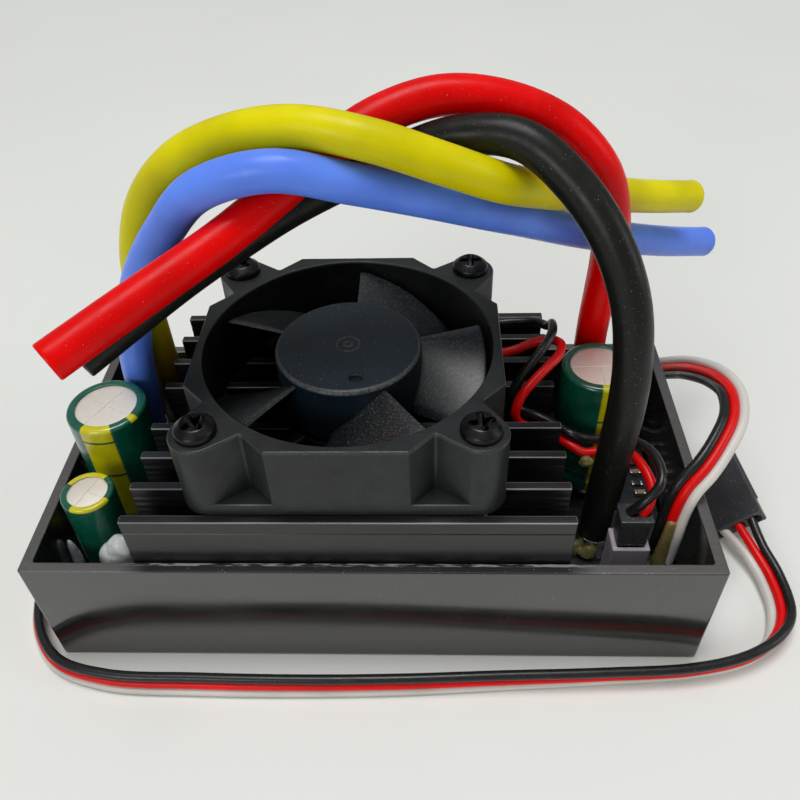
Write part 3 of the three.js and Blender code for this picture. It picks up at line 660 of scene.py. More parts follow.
metal("enamelled_copper", (0.55, 0.22, 0.08), 0.25, stretch=(8, 8, 1))
metal("tin", (0.62, 0.62, 0.63), 0.3, relief=0.006)
metal("solder", (0.62, 0.63, 0.66), 0.2, relief=0.01)
metal("can_aluminium", (0.88, 0.82, 0.74), 0.55, relief=0.001, stain=0.97, patchy=0.2)
silicone("red_silicone", (0.73, 0.0, 0.0), Specular_IOR_Level=0.15)
silicone("black_silicone", (0.007, 0.0078, 0.006), roughness=0.36, dust=0.4, Specular_IOR_Level=0.26)
silicone("yellow_silicone", (0.7, 0.62, 0.0), foot=36, Specular_IOR_Level=0.15)
silicone("blue_silicone", (0.115, 0.25, 0.95), Specular_IOR_Level=0.3)
silicone("servo_core_black", (0.011, 0.0115, 0.012), roughness=0.3, Specular_IOR_Level=0.4)
silicone("servo_core_red", (0.75, 0.003, 0.003), roughness=0.36, Specular_IOR_Level=0.25)
silicone("servo_core_white", (0.68, 0.65, 0.6), roughness=0.4, dust=0.0, lift=1.05)
silicone("red_lead", (0.72, 0.002, 0.002), roughness=0.3, Specular_IOR_Level=0.3)
silicone("black_lead", (0.01, 0.01, 0.01), roughness=0.28, dust=0.3, Specular_IOR_Level=0.4)
glue_look("glue", (0.46, 0.42, 0.16))
glue_look("clear_glue", (0.93, 0.95, 0.95), 0.07, 0.35)
glue_look("white_glue", (0.9, 0.94, 1.0), 0.2, 0.0)


# ---- Power wires ----
POWER_WIRE = 4.5
CONDUCTOR = 0.62
WIRE_ROUTES = {
    "red": [
        (32.0, 15.2, 8.7), (31.8, 15.4, 13.2), (31.6, 15.4, 20.3), (31.4, 14.9, 27.6), (31.3, 13.6, 34.8),
        (31.0, 11.7, 41.9), (30.3, 9.9, 49.0), (27.9, 8.8, 55.8), (22.9, 9.0, 61.1), (16.2, 9.7, 63.9),
        (9.0, 9.3, 64.8), (2.1, 7.2, 63.5), (-3.9, 3.9, 60.8), (-9.4, 0.1, 57.6), (-14.8, -4.2, 55.0),
        (-20.1, -8.9, 53.2), (-25.4, -13.7, 51.5), (-30.6, -18.5, 49.8),
    ],
    "black": [
        (31.0, -7.0, 8.7), (30.9, -7.5, 13.2), (30.9, -8.1, 19.9), (30.9, -8.6, 27.1), (31.0, -8.8, 34.3),
        (30.7, -8.3, 41.4), (29.6, -6.5, 48.3), (27.0, -3.6, 54.3), (23.0, 0.0, 59.0), (17.6, 3.5, 62.2),
        (11.0, 5.8, 61.7), (4.3, 6.5, 59.2), (-2.3, 5.9, 56.5), (-8.7, 3.6, 54.2), (-14.5, -0.1, 52.1),
        (-19.9, -4.4, 50.2), (-25.0, -9.1, 48.2), (-29.9, -14.0, 46.3),
    ],
    "yellow": [
        (-33.8, 16.3, 8.7), (-33.7, 16.1, 11.0), (-33.0, 14.5, 14.9), (-32.2, 12.4, 21.6),
        (-31.6, 10.6, 29.6), (-31.0, 9.4, 37.8), (-29.7, 8.6, 45.8), (-26.5, 7.5, 53.3), (-21.1, 5.7, 59.3),
        (-14.2, 3.4, 63.2),
        (-6.5, 1.2, 65.1), (1.5, -0.5, 64.3), (9.2, -0.2, 61.4), (15.8, 2.7, 57.6), (21.3, 7.7, 54.0),
        (26.6, 13.0, 50.7), (32.5, 18.0, 47.6), (38.8, 22.5, 44.8), (45.4, 26.9, 42.3),
    ],
    "blue": [
        (-36.2, 9.3, 8.7), (-36.1, 9.2, 11.0), (-35.4, 8.6, 15.4), (-34.3, 7.3, 22.5), (-32.9, 5.7, 30.9),
        (-30.6, 3.9, 38.9), (-27.2, 2.1, 46.6), (-22.5, 0.1, 53.5), (-16.8, -2.0, 59.7), (-8.7, -2.8, 62.2),
        (-0.5, -1.2, 59.8), (6.8, 1.8, 56.5), (13.6, 5.6, 52.7), (19.8, 9.9, 48.8), (25.8, 14.5, 44.7),
        (31.9, 19.1, 40.8), (38.1, 23.8, 37.2), (44.6, 28.4, 33.9), (51.2, 33.1, 30.9),
    ],
}
# Each cut end as (distance, share of the radius): the jacket's rim, and then the hollow down to the strands.
SQUARE_CUT = ((-0.3, 1), (-0.09, 0.985), (0, 0.93), (0, CONDUCTOR + 0.02), (-0.45, CONDUCTOR))
FLARED_CUT = ((-0.6, 1.01), (-0.25, 1.03), (-0.07, 1.0), (0, 0.94), (0, CONDUCTOR + 0.02), (-0.45, CONDUCTOR))
CUTS = {"red": SQUARE_CUT, "black": SQUARE_CUT, "yellow": FLARED_CUT, "blue": FLARED_CUT}


def strands(path, radius, strand=0.17, pitch=0.37, depth=1.2):
    """The fine wires of a conductor, packed side by side behind a cut end."""
    tangent, side, normal = frames_along(path)[-1]
    rows = int(radius / pitch) + 1
    made = []
    for row in range(-rows, rows + 1):
        for column in range(-rows, rows + 1):
            across = (column + 0.5 * (row % 2)) * pitch
            through = row * pitch * math.sin(math.radians(60))
            if math.hypot(across, through) + strand > radius:
                continue
            end = path[-1] + side * across + normal * through - tangent * random.uniform(0.12, 0.3)
            line = np.array([end - tangent * depth, end - tangent * depth / 2, end])
            made.append(tube(line, strand, sides=8, end=((-0.05, 1), (0, 0.7))))
    return made


def make_power_wires():
    for colour, route in WIRE_ROUTES.items():
        path = spaced(spline(route), 0.9)
        jacket = tube(path, POWER_WIRE / 2, sides=40, start=((0, 0.97), (0.1, 1)), end=CUTS[colour])
        core = strands(path, POWER_WIRE / 2 * CONDUCTOR)
        solids = [(jacket, 0)] + [(strand, 1) for strand in core]
        silicone_name = f"{colour}_silicone"
        wire = make_object(f"{colour}_wire", solids, [MATERIALS[silicone_name], MATERIALS["tin"]])
        finish_piece(wire, "case", [f"{colour}_power_wire"], sharp=45)


# ---- Servo lead and its plug ----
CORE = 1.3
CORE_COLOURS = ("black", "red", "white")
# Each row is a point on the lead's middle core, then the way from its black core to its white one.
SERVO_ROUTE = [
    ((38.8, -12.4, 9.6), (0.75, -0.6, -0.1)), ((39.2, -11.9, 13.4), (0.75, -0.6, -0.2)),
    ((39.6, -11.2, 17.6), (0.75, -0.5, -0.3)), ((40.6, -10.3, 21.1), (0.75, -0.5, -0.35)),
    ((43.0, -8.5, 23.2), (0.75, -0.45, -0.45)), ((45.5, -5.5, 24.7), (0.8, -0.4, -0.4)),
    ((47.6, -2.0, 25.9), (0.95, -0.2, -0.2)), ((48.6, 2.6, 26.0), (1.0, 0.1, 0.1)),
    ((48.4, 7.8, 24.3), (0.7, 0.5, 0.5)), ((47.6, 14.5, 20.2), (0.4, 0.6, 0.6)),
    ((47.0, 21.0, 14.9), (0.3, 0.7, 0.6)),
    ((44.6, 26.6, 9.4), (0.2, 0.9, 0.4)), ((39.0, 29.6, 5.0), (0.1, 1.0, 0.2)),
    ((31.0, 30.4, 2.0), (0, 1, 0.1)), ((21.0, 29.8, 0.85), (0, 1, 0)),
    ((7.0, 28.6, 0.85), (0, 1, 0)), ((-8.0, 28.2, 0.85), (0, 1, 0)),
    ((-23.0, 28.8, 0.85), (0, 1, 0)), ((-37.0, 28.6, 1.1), (-0.1, 1, -0.1)),
    ((-46.5, 25.0, 2.0), (-0.5, 0.7, -0.5)), ((-51.2, 17.5, 2.35), (-0.5, 0.1, -0.85)),
    ((-52.2, 7.5, 2.35), (-0.4, 0, -0.9)), ((-51.6, -3.5, 2.35), (-0.4, 0, -0.9)),
    ((-49.4, -13.0, 2.1), (-0.4, 0, -0.9)), ((-47.2, -19.7, 2.05), (-0.35, 0, -0.9)),
    ((-43.0, -24.6, 2.0), (-0.25, 0, -0.95)), ((-35.6, -27.0, 2.0), (0, -0.15, -0.98)),
    ((-23.0, -27.5, 1.95), (0, -0.2, -0.98)), ((-9.7, -27.6, 1.95), (0, -0.15, -0.98)),
    ((3.5, -27.3, 1.95), (0, -0.1, -0.98)), ((16.7, -26.6, 1.95), (0, 0, -1)),
    ((30.0, -25.9, 1.95), (0, 0.15, -0.98)), ((42.3, -25.0, 2.0), (0, 0.2, -0.97)),
    ((49.8, -23.1, 2.1), (-0.15, 0.1, -0.97)), ((54.0, -20.2, 2.1), (-0.5, 0, -0.85)),
    ((56.3, -16.0, 1.9), (-0.85, 0, -0.5)), ((56.4, -10.4, 2.1), (-0.85, 0, -0.45)),
    ((55.1, -6.0, 2.9), (-0.82, 0, -0.55)), ((54.03, -2.6, 3.4), (-0.82, 0, -0.57)),
]


def plug_frame():
    """The plug's turn and centre, from its body and contacts: X across the contacts, Y along them."""
    centre = middle_of("servo_plug")
    across = middle_of("servo_contact_3") - middle_of("servo_contact_1")
    along = middle_of("servo_contact_2") - centre
    across, along = unit(across), unit(along)
    return np.stack([across, along, np.cross(across, along)], axis=1), centre


def placed(solid, turn, centre):
    points, faces = solid
    return points @ turn.T + centre, faces


def make_servo_lead():
    centres = spline([point for point, side in SERVO_ROUTE])
    sides = spline([side for point, side in SERVO_ROUTE])
    tangents = unit(np.gradient(centres, axis=0))
    sides = unit(sides - np.sum(sides * tangents, axis=1, keepdims=True) * tangents)
    to_end = path_length(centres) - distances(centres)
    # The cores fan out over the last few millimetres, to the width of the plug.
    pitch = CORE * 0.98 + 0.75 * np.clip(1 - to_end / 5, 0, 1) ** 1.5
    solids = []
    for kind, offset in enumerate((-1, 0, 1)):
        core = centres + sides * (pitch * offset)[:, None]
        solids.append((tube(spaced(core, 0.7), CORE / 2 * 1.02, sides=16, end=((0, 1), (1.2, 1))), kind))
    materials = [MATERIALS[f"servo_core_{colour}"] for colour in CORE_COLOURS]
    lead = make_object("servo_ribbon_lead", solids, materials)
    finish_piece(lead, "case", ["servo_lead"], sharp=60)
    return lead, spaced(centres, 1.0)


PLUG_WIDTH = 7.9
PLUG_LENGTH = 14.0
PLUG_THICKNESS = 2.6
PIN_PITCH = 2.54


def make_servo_plug():
    """The plug is drawn about its own middle, with its cords at -Y, and then placed."""
    turn, centre = plug_frame()
    half = PLUG_LENGTH / 2
    ends = [(-half, 0.25), (-half + 0.1, 0.08), (-half + 0.25, 0),
            (half - 0.2, 0), (half - 0.06, 0.06), (half, 0.2)]
    body = along_y(plate([rounded_rect(PLUG_WIDTH, PLUG_THICKNESS, 0.3)], ends))
    rail = block((0.5, 9.5, 1.1), (PLUG_WIDTH / 2 + 0.02, 1.2, 0), 0.15)
    entry = along_y(lathe([(0, -half - 1), (0.95, -half - 1), (0.95, -half + 0.2), (0.72, -half + 0.5),
                           (0.72, -half + 3), (0, -half + 3)], 24))
    spots = (-PIN_PITCH, 0, PIN_PITCH)
    cuts = []
    for x in spots:
        cuts.append(block((1.7, 12.5, 1.7), (x, 1.6, 0), 0.12))
        cuts.append(moved(entry, by=(x, 0, 0)))
        cuts.append(block((1.3, 2.6, 1.6), (x, -1.8, -PLUG_THICKNESS / 2), 0.1))
    tongues = [block((1.0, 2.2, 0.25), (x, -1.7, -0.98), 0.1) for x in spots]
    body, rail, *rest = [placed(solid, turn, centre) for solid in (body, rail, *cuts, *tongues)]
    cuts, tongues = rest[:len(cuts)], rest[len(cuts):]
    made = [
        piece("servo_plug_housing", [body], "connector_plastic", ["servo_plug"], join=[rail], cut=cuts),
        piece("servo_plug_latches", tongues, "connector_plastic"),
    ]
    outer, inner = rounded_rect(1.2, 1.2, 0.15), rounded_rect(0.85, 0.85, 0.1)[::-1]
    shell = along_y(plate([outer, inner], [(-4.5, 0.05), (-4.4, 0), (4.35, 0), (4.5, 0.08)]))
    spring = block((0.5, 5, 0.15), (0, 0.8, 0.28), 0.06)
    for i in (1, 2, 3):
        node = f"servo_contact_{i}"
        solids = [placed(solid, turn, middle_of(node)) for solid in (shell, spring)]
        made.append(piece(f"crimp_contact_{i}", solids, "tin", [node]))
    return made


# ---- Fan leads, their plug and its header ----
FAN_LEAD = 1.3
FAN_LEAD_ROUTES = {
    "red": [
        (17.0, 8.6, 28.2), (19.6, 9.1, 28.5), (22.2, 9.6, 29.4), (24.4, 9.3, 30.2), (25.7, 7.8, 30.6),
        (25.2, 5.7, 30.4), (23.6, 3.8, 30.0), (21.7, 1.9, 29.3), (19.9, 0.2, 27.9), (19.1, -0.7, 25.6),
        (19.9, -0.4, 23.4), (21.9, -0.2, 22.1), (24.4, -1.0, 21.8), (26.4, -3.1, 22.0), (28.2, -4.2, 21.6),
        (31.0, -4.1, 21.8), (33.8, -5.2, 22.6), (35.2, -8.2, 22.9), (35.9, -11.0, 22.0), (35.4, -12.5, 20.6),
        (35.1, -12.7, 19.8),
    ],
    "black": [
        (17.0, 15.5, 28.3), (19.9, 15.5, 28.6), (22.9, 14.7, 29.2), (24.5, 12.7, 30.0), (24.7, 10.9, 31.8),
        (24.4, 8.4, 32.2), (23.3, 6.3, 31.6), (21.8, 4.5, 30.6), (20.0, 2.9, 28.9), (18.9, 2.0, 26.6),
        (19.6, 1.5, 24.6), (21.8, 1.2, 23.6), (24.3, -0.3, 23.3), (26.7, -2.6, 23.4), (29.0, -2.7, 22.6),
        (31.8, -2.6, 22.6), (34.6, -3.8, 23.4), (36.6, -7.4, 24.2), (36.6, -11.4, 23.6), (34.4, -12.9, 21.4),
        (33.5, -12.7, 19.8),
    ],
}


def make_fan_leads():
    for colour, route in FAN_LEAD_ROUTES.items():
        path = spaced(spline(route), 0.45)
        jacket = tube(path, FAN_LEAD / 2, sides=18, start=((-0.5, 1), (0, 1)), end=((0, 1), (0.6, 1)))
        lead = piece(f"fan_wire_{colour}", [jacket], f"{colour}_lead", [f"fan_lead_{colour}"], sharp=60)


def make_fan_plug():
    low, high = in_mm("fan_plug")
    size, centre = high - low, (low + high) / 2
    entries = [route[-1][:2] for route in FAN_LEAD_ROUTES.values()]
    profile = [(0, -1.2), (0.7, -1.2), (0.7, -0.3), (0.9, 0.05), (0.9, 1), (0, 1)]
    cuts = [moved(lathe(profile, 24), by=(x, y, high[2])) for x, y in entries]
    cuts += [block((0.9, 0.8, 3.2), (x, low[1], centre[2] - 0.6), 0.1) for x, y in entries]
    ribs = [block((0.5, 0.4, size[2] * 0.6), (centre[0] + side * 1.9, high[1], low[2] + size[2] * 0.35), 0.1)
            for side in (-1, 1)]
    collar = block((size[0] - 0.02, size[1] - 0.02, 0.9), (centre[0], centre[1], high[2] - 0.45), 0.2)
    body = block((size[0] - 0.5, size[1] - 0.5, size[2] - 0.2), centre, 0.25)
    piece("fan_plug_housing", [body], "connector_plastic", ["fan_plug"], join=[collar, *ribs], cut=cuts)
    low, high = in_mm("fan_header")
    size, centre = high - low, (low + high) / 2
    outer = rounded_rect(size[0], size[1], 0.25, centre[:2])
    well = rounded_rect(size[0] - 1.4, size[1] - 1.2, 0.15, centre[:2])[::-1]
    wall = plate([outer, well], [(low[2], 0.1), (low[2] + 0.1, 0), (high[2] - 0.15, 0), (high[2], 0.12)])
    base = block((size[0] - 0.6, size[1] - 0.6, 1.6), (centre[0], centre[1], low[2] + 0.8), 0.1)
    slots = [block((0.9, 1.2, 2.4), (centre[0] + side * 1.1, high[1], high[2] - 1), 0.08) for side in (-1, 1)]
    piece("fan_header_shroud", [wall], "header_plastic", ["fan_header"], join=[base], cut=slots)
    reach = size[2] + 1.5
    pins = [block((0.5, 0.5, reach), (x, y, low[2] + 1 + reach / 2), 0.1) for x, y in entries]
    piece("fan_header_pins", pins, "tin")


# ---- Screws ----
def screw(radius, height, shank, length, turned):
    """A pan-head screw with a cross recess and a threaded shank: its head rests on height 0."""
    profile = [(0, height, 0), (radius * 0.62, height, 0.5), (radius * 0.98, height * 0.55, 0.5),
               (radius, height * 0.2, 0.2), (radius * 0.93, 0, 0.1), (shank, 0, 0)]
    points = list(filleted(profile, closed=False))
    pitch = shank * 0.5
    for i in range(int((length - shank) / pitch)):
        points.append((shank * 0.8, -pitch * (i + 0.35)))
        points.append((shank, -pitch * (i + 0.8)))
    points += [(shank * 0.6, -length + shank * 0.4), (0, -length)]
    head = make_object("screw", [(lathe(points, 48), 0)], [MATERIALS["black_screw"]])
    rows = []
    for level, reach, width in ((0.3, 0.16, 0.1), (0.55, 0.42, 0.13), (0.9, 0.6, 0.17), (1.5, 0.72, 0.2)):
        loop = rounded_rect(2 * radius * reach, 2 * radius * width, radius * width * 0.6)
        rows.append(at_height(loop, height * level))
    return combine(head, "DIFFERENCE", crossed(loft(rows), turned))


BOARD_HOLE = 1.3
HEATSINK_HOLE = 1.45
BOARD_SCREWS = [f"board_screw_{i}" for i in (1, 2, 3, 4)]
HEATSINK_SCREWS = [f"heatsink_screw_{i}" for i in (1, 2)]
FAN_SCREWS = [f"fan_screw_{i}" for i in (1, 2, 3, 4)]


def make_screws():
    # Each kind has its head's radius and height, and its shank's radius and length. None is the node's own.
    kinds = (
        (BOARD_SCREWS, 1.9, 1.3, 0.95, 3.2),
        (HEATSINK_SCREWS, 2.2, 1.6, 1.15, None),
        (FAN_SCREWS, 2.45, 1.6, 1.4, 17.5),
    )
    for nodes, radius, height, shank, length in kinds:
        for node in nodes:
            low, high = in_mm(node)
            made = screw(radius, height, shank, length or high[2] - low[2] - height, random.uniform(0, 90))
            made.name = f"{node}_pan_head"
            made.location = Vector(above(node, high[2] - height)) * MM
            finish_piece(made, "case", [node])


# ---- Tray ----
def make_tray():
    low, high = in_mm("tray")
    width, depth, height = high - low
    section = filleted([(12, 0, 0), (0, 0, 0.5), (0, height, 0.22), (TRAY_WALL, height, 0.22),
                        (TRAY_WALL, TRAY_FLOOR, 0.9), (12, TRAY_FLOOR, 0)], closed=False)
    rows = []
    for off, level in section:
        rows.append(at_height(rounded_rect(width - 2 * off, depth - 2 * off, TRAY_CORNER), level))
    solids = [loft(rows)]
    board_bottom = in_mm("circuit_board")[0][2]
    posts = [(node, 2.2, BOARD_HOLE - 0.1) for node in BOARD_SCREWS]
    posts += [(node, 3.0, HEATSINK_HOLE) for node in HEATSINK_SCREWS]
    for node, outer, pilot in posts:
        profile = [
            (pilot, TRAY_FLOOR), (pilot, board_bottom - 0.15), (pilot + 0.15, board_bottom),
            (outer - 0.15, board_bottom), (outer, board_bottom - 0.15), (outer, TRAY_FLOOR + 0.6),
            (outer + 0.2, TRAY_FLOOR + 0.2), (outer + 0.6, TRAY_FLOOR - 0.05), (pilot, TRAY_FLOOR - 0.4),
        ]
        solids.append(moved(lathe(profile, 40), by=above(node, 0)))
    piece("moulded_tray", solids, "tray_plastic", ["tray"])


# ---- Circuit board and what is soldered to it ----
def make_board():
    low, high = in_mm("circuit_board")
    size = high - low
    top = high[2]
    loops = [rounded_rect(size[0], size[1], 0.8)]
    pads = []
    radii = {**dict.fromkeys(BOARD_SCREWS, BOARD_HOLE), **dict.fromkeys(HEATSINK_SCREWS, HEATSINK_HOLE)}
    for node, radius in radii.items():
        loops.append(hole(radius, middle_of(node)[:2]))
        rim = [(radius, 0), (radius + 1.2, 0), (radius + 1.15, 0.06), (radius + 0.05, 0.06)]
        pads.append(moved(lathe(rim, 40), by=above(node, top)))
    plain = plate(loops, [(low[2], 0.06), (low[2] + 0.06, 0), (top - 0.06, 0), (top, 0.06)])
    piece("printed_circuit_board", [plain], "board_mask", ["circuit_board"])
    piece("board_screw_pads", pads, "tin")


def package(node, name, pins, rows, pin_width):
    """A moulded chip with flat pins on its sides across each axis in rows, and a round mark by the first."""
    low, high = in_mm(node)
    size, centre = high - low, (low + high) / 2
    body = block((size[0], size[1], size[2] - 0.06), (centre[0], centre[1], centre[2] + 0.03), 0.09)
    legs = []
    for axis in rows:
        for side in (-1, 1):
            for i in range(pins):
                along = (i - (pins - 1) / 2) * size[1 - axis] * 0.86 / pins
                spot = centre.copy()
                spot[axis] += side * (size[axis] / 2 + 0.1)
                spot[1 - axis] += along
                spot[2] = low[2] + 0.12
                leg = [0.5, pin_width, 0.2] if axis == 0 else [pin_width, 0.5, 0.2]
                legs.append(block(leg, spot, 0.05, 2))
    dot = lathe([(0, -0.06), (0.32, -0.06), (0.36, 0.2), (0, 0.2)], 24)
    corner = (centre[0] - size[0] / 2 + 0.8, centre[1] - size[1] / 2 + 0.8, high[2])
    piece(name, [body], "chip_resin", [node], cut=[moved(dot, by=corner)])
    piece(f"{name}_pins", legs, "tin")


def make_chips():
    for i in range(1, 7):
        package(f"mosfet_{i}", f"power_transistor_{i}", 4, [1], 0.6)
    package("microcontroller", "microcontroller_package", 8, [0, 1], 0.3)
    package("gate_driver", "gate_driver_package", 6, [1], 0.3)
    package("bec_regulator", "regulator_package", 4, [1], 0.5)
    low, high = in_mm("current_shunt")
    across, deep = (high[0] - low[0]) / 2, (high[1] - low[1]) / 2
    lower = [(across, 0, 0), (across - 1.5, 0, 0.2), (across - 1.9, 0.4, 0.2)]
    upper = [(across, 0.35, 0.1), (across - 1.4, 0.35, 0.1), (across - 1.9, 0.8, 0.2)]
    mirrored = [[(-x, y, radius) for x, y, radius in side] for side in (lower, upper)]
    bridge = filleted([*mirrored[0], *lower[::-1], *upper, *mirrored[1][::-1]])
    strip = along_y(plate([bridge], [(-deep, 0.04), (-deep + 0.05, 0), (deep - 0.05, 0), (deep, 0.04)]))
    at = above("current_shunt", low[2])
    piece("shunt_strip", [moved(strip, by=at)], "laminated_steel", ["current_shunt"], slot="tin")


def make_small_parts():
    """Rows of chip capacitors and chip resistors along both ends of the board."""
    top = in_mm("circuit_board")[1][2]
    rows = {
        (-40.2, 4.5, 2.1): 6, (-30.4, -9.5, 2.0): 3, (-29.9, 6.0, 2.1): 6, (27.2, -18.0, 1.9): 3,
        (39.6, 2.0, 2.1): 6, (26.4, -2.0, 2.1): 4,
    }
    bodies, ends, resistors = [], [], []
    for (x, start, step), count in rows.items():
        for i in range(count):
            y = start + i * step
            tall = random.choice((0.45, 0.8))
            spot = (x + random.uniform(-0.08, 0.08), y, top + tall / 2)
            middle = block((1.0, 0.78, tall), spot, 0.06, 2)
            (resistors if tall < 0.6 else bodies).append(middle)
            for side in (-1, 1):
                cap = (spot[0] + side * 0.66, y, top + tall / 2)
                ends.append(block((0.42, 0.84, tall + 0.05), cap, 0.09, 2))
    piece("chip_capacitors", bodies, "ceramic", slot="chip_resin")
    piece("chip_resistors", resistors, "chip_resin")
    piece("chip_end_caps", ends, "tin")


# ---- Heatsink ----
FINS_PER_SIDE = 4
INNER_FIN = 4.06
FIN_PITCH = 5.22
FIN = 1.2
RIB_PITCH = 1.05
SINK_BASE = 3.0


def fin_side(y, bottom, top, outward, ribbed):
    """One side of a fin from its foot to its crest, with fine ribs along it where it faces a channel."""
    points = [(y, bottom)]
    if ribbed:
        inner = y - outward * 0.07
        for level in np.arange(bottom + 1.4, top - 1.6, RIB_PITCH):
            points += [(y, level), (inner, level + 0.3), (inner, level + 0.5), (y, level + 0.8)]
    else:
        inner = y - outward * 0.1
        points += [(y, top - 2.2), (inner, top - 2.1), (inner, top - 1.95), (y, top - 1.85)]
    points += [(y, top - 0.16), (y - outward * 0.05, top - 0.05), (y - outward * 0.17, top)]
    return points


def make_heatsink():
    low, high = in_mm("heatsink")
    base_top, top = low[2] + SINK_BASE, high[2]
    fins = [side * (INNER_FIN + i * FIN_PITCH) for i in range(FINS_PER_SIDE) for side in (-1, 1)]
    fins.sort(reverse=True)
    outline = [(low[1], low[2]), (high[1], low[2])]
    for i, fin in enumerate(fins):
        first, last = i == 0, i == len(fins) - 1
        outline += fin_side(fin + FIN / 2, base_top, top, 1, not first)[1 if first else 0:]
        left = fin_side(fin - FIN / 2, base_top, top, -1, not last)[::-1]
        outline += left[:-1] if last else left
    ends = [(low[0], 0.1), (low[0] + 0.1, 0), (high[0] - 0.1, 0), (high[0], 0.1)]
    bar = along_x(plate([np.array(outline)], ends))
    fan_hole = lathe([(0, top - 9.8), (1.7, top - 9), (1.7, top + 1), (0, top + 1)], 32)
    under, over = low[2] - 1, base_top + 1
    base_hole = lathe([(0, under), (HEATSINK_HOLE, under), (HEATSINK_HOLE, over), (0, over)], 32)
    cuts = [moved(fan_hole, by=above(node, 0)) for node in FAN_SCREWS]
    cuts += [moved(base_hole, by=above(node, 0)) for node in HEATSINK_SCREWS]
    piece("finned_heatsink", [bar], "black_anodised", ["heatsink"], cut=cuts)
    low, high = in_mm("thermal_pad")
    size, centre = high - low, (low + high) / 2
    loops = [rounded_rect(size[0], size[1], 1.0, centre[:2])]
    loops += [hole(2.0, middle_of(node)[:2]) for node in HEATSINK_SCREWS]
    levels = [(low[2], 0.15), (low[2] + 0.3, 0.02), (high[2] - 0.3, 0), (high[2], 0.12)]
    piece("silicone_thermal_pad", [plate(loops, levels)], "thermal_pad", ["thermal_pad"])


# ---- Fan ----
FAN_HALF = 19.3
BORE = 18.2
BOSS = 16.0
BOSS_RADIUS = 3.25
BOSS_WRAP = 0.42
FLAT_END = (FAN_HALF, 8.0)
NOTCH = (16.4, 10.9)
FLANGE = 1.8
STRUT_WIDTH = 2.6
HUB_PLATE = 1.2
HUB_PLATE_RADIUS = 9.2
SCREW_HOLE = 1.75


def turned_spot(spot, quarter):
    angle = quarter * math.pi / 2
    c, s = math.cos(angle), math.sin(angle)
    return (spot[0] * c - spot[1] * s, spot[0] * s + spot[1] * c)


def fan_outline():
    """The outline above the flange: a flat on each side with a notch at both ends, and four corner bosses."""
    corners = []
    for quarter in range(4):
        start = quarter * math.pi / 2
        corners.append((*turned_spot(FLAT_END, quarter), 0.25))
        corners.append((*turned_spot(NOTCH, quarter), 0.4))
        boss = turned_spot((BOSS, BOSS), quarter)
        rounded = arc(boss, BOSS_RADIUS, start - BOSS_WRAP, start + math.pi / 2 + BOSS_WRAP, 22)
        corners += [(x, y, 0) for x, y in rounded]
        corners.append((*turned_spot(NOTCH[::-1], quarter), 0.4))
        corners.append((*turned_spot(FLAT_END[::-1], quarter), 0.25))
    return filleted(corners)


def make_fan_frame():
    low, high = in_mm("fan_frame")
    height = high[2] - low[2]
    body = plate([fan_outline()], [(FLANGE / 2, 0), (height - 0.32, 0), (height - 0.2, 0.03),
                                   (height - 0.09, 0.09), (height - 0.02, 0.2), (height, 0.34)])
    square = rounded_rect(2 * FAN_HALF, 2 * FAN_HALF, FAN_HALF - BOSS, steps=10)
    flange = plate([square], [(0, 0.3), (0.09, 0.09), (0.3, 0), (FLANGE - 0.25, 0), (FLANGE - 0.07, 0.07),
                              (FLANGE, 0.25)])
    bore = lathe([(0, -1), (BORE, -1), (BORE, height - 0.4), (BORE + 0.04, height - 0.2),
                  (BORE + 0.12, height - 0.06), (BORE + 0.25, height + 0.01), (BORE + 0.25, height + 1),
                  (0, height + 1)], 160)
    bolt = [(0, -1), (SCREW_HOLE, -1), (SCREW_HOLE, height - 0.25), (SCREW_HOLE + 0.25, height + 0.01),
            (SCREW_HOLE + 0.25, height + 1), (0, height + 1)]
    cuts = [bore]
    cuts += [moved(lathe(bolt, 32), by=(*turned_spot((BOSS, BOSS), quarter), 0)) for quarter in range(4)]
    shell = make_object("fan_frame_shell", [(body, 0)], [MATERIALS["fan_plastic"]])
    combine(shell, "UNION", [flange])
    combine(shell, "DIFFERENCE", cuts)
    arm = block((BORE * 2 + 0.8, STRUT_WIDTH, HUB_PLATE), (0, 0, HUB_PLATE / 2), 0.25)
    # The hub plate carries the thin tube that the bearing sits in.
    hub = lathe([(0, 0), (HUB_PLATE_RADIUS - 0.3, 0), (HUB_PLATE_RADIUS, 0.25),
                 (HUB_PLATE_RADIUS, HUB_PLATE - 0.25), (HUB_PLATE_RADIUS - 0.25, HUB_PLATE), (2.8, HUB_PLATE),
                 (2.45, 1.55), (2.45, 6.6), (2.3, 6.8), (2.15, 6.8), (2.05, 6.7), (2.05, 0.6), (0, 0.6)], 72)
    combine(shell, "UNION", [*crossed(arm, 45), hub])
    shell.location = Vector(above("fan_frame", low[2])) * MM
    finish_piece(shell, "case", ["fan_frame"])


HUB_RADIUS = 9.3
HUB_SKIRT = 2.1
BLADE_TIP = 17.6
BLADE_ROOT = HUB_RADIUS - 0.5
BLADE_TOP = 9.4
BLADE_DROP = 6.4
BLADE_SPAN = 46
BLADE_LEAN = 1.5
BLADE_HALF = 0.42
BLADE_CAMBER = 0.45
BLADES = 5
FIRST_EDGE = 15


